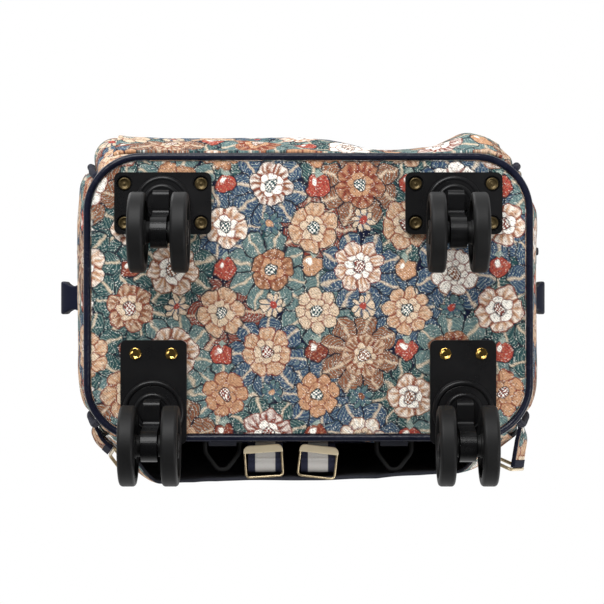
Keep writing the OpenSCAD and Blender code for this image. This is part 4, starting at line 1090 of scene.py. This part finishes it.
def ring_tab(side, name):
    """A loop of lining from the wall round a plastic ring's bar and back."""
    wall = back_at(23.0) + 0.3
    above = [(wall, 3.0), (RING_Y - 1, 3.2), (RING_Y + 2.2, 2.3)]
    line = above + [(RING_Y + 3.2, 0)] + [(y, -rise) for y, rise in above[::-1]]
    path, outs = strip_path(RING_X * side, RING_Z, relaxed(line, 40, 4))
    sweep(name, path, outs, strap_section(TAB_W, 1.2, 0.4), [LINING])


for side, label in SIDES:
    ring_tab(side, "loop_" + label)

# Zips

ZIP_LOW, ZIP_Y, ZIP_LIFT = 130.0, -36.0, 0.2
POCKET_ZIP_H, POCKET_ZIP_HALF = 296.0, 119.7


def zip_path():
    """The main zip's line up the right side, over the top and down the left, with its outward directions."""
    h = np.concatenate([np.linspace(ZIP_LOW, FLAT_HIGH, 60),
                        FLAT_HIGH + SHOULDER * np.sin(np.radians(np.linspace(0, 90, 24)[1:]))])
    s = slope(h)
    out = stacked(np.cos(s), 0, np.sin(s))
    right = stacked(half_w(h), ZIP_Y, CASTER_H + h) + ZIP_LIFT * out
    flat = np.linspace(right[-1], right[-1] * MIRROR, 60)[1:-1]
    outs = np.concatenate([out, np.broadcast_to(UP, flat.shape), out[::-1] * MIRROR])
    return np.concatenate([right, flat, right[::-1] * MIRROR]), outs


def zip_parts(path, outs, name, node):
    flat = strap_section(20.0, 1.2, 0.4)
    tape = sweep(name + "_tape", path + outs * 0.6, outs, flat, [ZIP_CLOTH])
    sweep(name + "_coil", path + outs * 1.6, outs, strap_section(6.0, 2.2, 0.9, 0.2), [COIL])
    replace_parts(tape, node)


def coil_material():
    s = Shader("zip_coil", roughness=0.45, specular=0.4)
    u, _ = s.uv()
    tooth = (u * 4.2).sin()
    s.color(s.mix((tooth * 0.5 + 0.5).clamp(), (0.008, 0.009, 0.014), (0.05, 0.05, 0.065)))
    s.bump(tooth, 0.8, 0.0005)
    return s.material


COIL = coil_material()
zip_parts(*zip_path(), "zip_main", "main_zip")
zip_end = np.array([POCKET_ZIP_HALF, -front_at(POCKET_ZIP_H) - ZIP_LIFT, CASTER_H + POCKET_ZIP_H])
zip_parts(np.linspace(zip_end * MIRROR, zip_end, 120), np.array([0, -1.0, 0]), "zip_pocket", "pocket_zip")

# Hardware from the CAD, with eased edges

def eased(node, material, width, body, rings=()):
    """A copy of a CAD node with its sharp edges rounded, standing in for it.

    Each ring (x, y, low, high, radius, new radius) eases a turned rim in or out in the copy.
    """
    mesh = NODES[node].data.copy()
    mesh.materials.clear()
    mesh.materials.append(material)
    bm = bmesh.new()
    bm.from_mesh(mesh)
    bmesh.ops.remove_doubles(bm, verts=bm.verts, dist=2e-6)
    bmesh.ops.dissolve_limit(bm, angle_limit=0.01, verts=bm.verts, edges=bm.edges)
    for x, y, low, high, old, new in rings:
        for v in bm.verts:
            at = np.array([v.co.x * 1000 - x, v.co.y * 1000 - y])
            r = float(np.linalg.norm(at))
            if low < v.co.z * 1000 < high and old - 1.5 < r < old + 0.2:
                at *= (r + new - old) / r / 1000
                v.co.x, v.co.y = x / 1000 + at[0], y / 1000 + at[1]
    bm.to_mesh(mesh)
    bm.free()
    mesh.shade_smooth()
    obj = bpy.data.objects.new("eased_" + node, mesh)
    bpy.context.scene.collection.objects.link(obj)
    bevel = obj.modifiers.new("ease", "BEVEL")
    bevel.width = width / 1000
    bevel.segments = 3
    bevel.limit_method = "ANGLE"
    bevel.angle_limit = math.radians(35)
    bevel.use_clamp_overlap = True
    even = obj.modifiers.new("even", "WEIGHTED_NORMAL")
    even.weight = 100
    even.keep_sharp = True
    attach(obj, body)
    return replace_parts(obj, node)


def lathe(name, places, profile, material, faces_round=32, body="bag", closed=True):
    """Turned pieces about upright axes, from (radius, height) pairs in millimetres, all in one object."""
    verts, faces = [], []
    a = np.arange(faces_round) * 2 * np.pi / faces_round
    turned = grid_faces(len(profile), faces_round, loop_cols=True, flip=True)
    if closed:
        turned.append(tuple((len(profile) - 1) * faces_round + i for i in range(faces_round)))
    for x, y, z in places:
        faces += [tuple(len(verts) + i for i in f) for f in turned]
        for r, dz in profile:
            verts += [(x + r * math.cos(v), y + r * math.sin(v), z + dz) for v in a]
    return make_mesh(name, verts, faces, None, [material], body)


def rim_profile(edge, side):
    """A rolled rim about a moulded disc: up its side from the underside's level, in at the bottom."""
    roll = [(edge - 1.9 + 2.0 * math.cos(a), 1.55 - 2.0 * math.sin(a))
            for a in np.radians(np.linspace(0, 135, 10))]
    return [(edge + 0.1, side)] + roll


# Radii of the bosses and the yokes' top discs, first as the solids have them where the scene's differ
CAD_BOSS_R, FRONT_BOSS_R, REAR_BOSS_R = 18.0, 19.4, 22.0
CAD_DISC_R, DISC_R = 15.5, 13.4
AXES = {place + label: (side * axis[0], axis[1])
        for place, axis in (("front_", FRONT_AXIS), ("rear_", REAR_AXIS)) for side, label in SIDES}
for corner, (axis_x, axis_y) in AXES.items():
    front = axis_y < 0
    boss = [(axis_x, axis_y - MID_Y, 61.5, 65.3, CAD_BOSS_R, FRONT_BOSS_R)] if front else []
    disc = [(axis_x, axis_y - MID_Y, 56.8, 61.7, CAD_DISC_R, DISC_R)]
    eased("caster_plate_" + corner, BLACK, 0.9, "bag", rings=boss)
    eased("caster_yoke_" + corner, BLACK, 1.1, "caster_" + corner, rings=disc)
    rim = rim_profile(FRONT_BOSS_R if front else REAR_BOSS_R, 3.0)
    lathe("boss_rim_" + corner, [(axis_x, axis_y, 61.8)], rim, BLACK, 96, closed=False)
    lathe("disc_rim_" + corner, [(axis_x, axis_y, 57.0)], rim_profile(DISC_R, 3.6), BLACK,
          96, "caster_" + corner, closed=False)
    coat("caster_axle_" + corner, STEEL)
    for place in ("outer", "inner"):
        eased(f"wheel_{corner}_{place}", TYRE, 0.5, f"wheel_{corner}_{place}")
coat("swivel_rivets", BLACK)
# Rivets' distances from the caster axes, and the levels of their heads
RIVET_X, RIVET_Y, FRONT_RIVET_Z = 27.2, 13.95, 67.2
REAR_RIVET_X, REAR_RIVET_Y, REAR_RIVET_Z = 12.8, -40.9, 64.0
FRONT_RIVETS = [(side * FRONT_AXIS[0] + i * RIVET_X, FRONT_AXIS[1] + j * RIVET_Y, FRONT_RIVET_Z)
                for side in (-1, 1) for i in (-1, 1) for j in (-1, 1)]
REAR_RIVETS = [(side * REAR_AXIS[0] + i * REAR_RIVET_X, REAR_AXIS[1] + REAR_RIVET_Y, REAR_RIVET_Z)
               for side in (-1, 1) for i in (-1, 1)]
DISH = [(4.5, 0.4), (4.5, -0.8), (4.2, -1.2), (3.6, -1.3), (3.1, -1.0), (2.9, -0.7), (1.5, -0.75),
        (0.2, -0.8)]
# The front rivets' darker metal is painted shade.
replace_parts(lathe("rivets_front", FRONT_RIVETS, DISH, SHADED_BRASS), "plate_rivets")
lathe("rivets_rear", REAR_RIVETS, DISH, BRIGHT, 8)
COATS = (
    (ALUMINIUM, ("outer_tubes", "middle_tubes", "inner_tubes")),
    (BLACK, ("tube_foot", "handle_bezel", "grip")),
    (GREY, ("release_button",)),
    (GOLD, ("main_slider_left", "main_slider_right", "pocket_slider")),
    (GOLD, ("main_pull_left", "main_pull_right", "pocket_pull")),
)
for material, coated in COATS:
    for node in coated:
        coat(node, material)

# Stage: a pale floor that doesn't hide the bag from below, soft light all round, and the photograph's camera

# The photograph's width in pixels, its pixels per millimetre at the base, and the camera's distance
PHOTO_W, PHOTO_SCALE, CAMERA_AWAY = 604, 1.4025, 1400.0


def stage():
    bpy.ops.mesh.primitive_plane_add(size=80, location=(0, 0, 0))
    floor = bpy.context.object
    floor.name = "floor"
    s = Shader("pale_floor", roughness=0.9, color=(0.85, 0.85, 0.85))
    geo = s.node("ShaderNodeNewGeometry")
    clear = s.node("ShaderNodeBsdfTransparent")
    mixer = s.node("ShaderNodeMixShader")
    s.put(mixer.inputs[0], geo.outputs["Backfacing"])
    s.put(mixer.inputs[1], s.bsdf.outputs[0])
    s.put(mixer.inputs[2], clear.outputs[0])
    s.put(s.tree.nodes["Material Output"].inputs["Surface"], mixer.outputs[0])
    floor.data.materials.append(s.material)
    floor.visible_shadow = False
    floor.visible_glossy = False

    world = bpy.data.worlds.new("studio")
    bpy.context.scene.world = world
    world.use_nodes = True
    tree = world.node_tree
    place = tree.nodes.new("ShaderNodeTexCoord")
    split = tree.nodes.new("ShaderNodeSeparateXYZ")
    ramp = tree.nodes.new("ShaderNodeMapRange")
    for i, v in ((1, -0.3), (2, 0.1), (3, 0.07), (4, 1.0)):
        ramp.inputs[i].default_value = v
    tree.links.new(place.outputs["Generated"], split.inputs[0])
    tree.links.new(split.outputs[2], ramp.inputs[0])
    tree.nodes["Background"].inputs[0].default_value = (1, 1, 1, 1)
    tree.links.new(ramp.outputs[0], tree.nodes["Background"].inputs[1])

    def area(name, place, target, size, power):
        light = bpy.data.lights.new(name, "AREA")
        light.size = size
        light.energy = power
        obj = bpy.data.objects.new(name, light)
        obj.location = place
        obj.rotation_euler = (Vector(target) - Vector(place)).to_track_quat("-Z", "Y").to_euler()
        bpy.context.scene.collection.objects.link(obj)

    area("key_below", (-0.4, -1.3, -1.1), (0, 0, 0.07), 1.2, 41)
    area("fill_below", (0.9, 0.5, -1.0), (0, 0, 0.07), 0.8, 9)
    area("key_above", (-1.2, -1.6, 1.8), (0, 0, 0.25), 1.2, 16)
    area("fill_above", (1.6, 1.2, 1.5), (0, 0, 0.25), 1.4, 8)

    cam = bpy.data.cameras.new("photo_camera")
    cam.sensor_width = 36
    cam.lens = cam.sensor_width * PHOTO_SCALE * CAMERA_AWAY / PHOTO_W
    cam.clip_start = 0.05
    obj = bpy.data.objects.new("photo_camera", cam)
    obj.location = (-0.0045, (3.42 - MID_Y) / 1000, (CASTER_H - CAMERA_AWAY) / 1000)
    obj.rotation_euler = (math.pi, 0, 0)
    bpy.context.scene.collection.objects.link(obj)
    bpy.context.scene.camera = obj
    bpy.context.scene.view_settings.view_transform = "Standard"


stage()
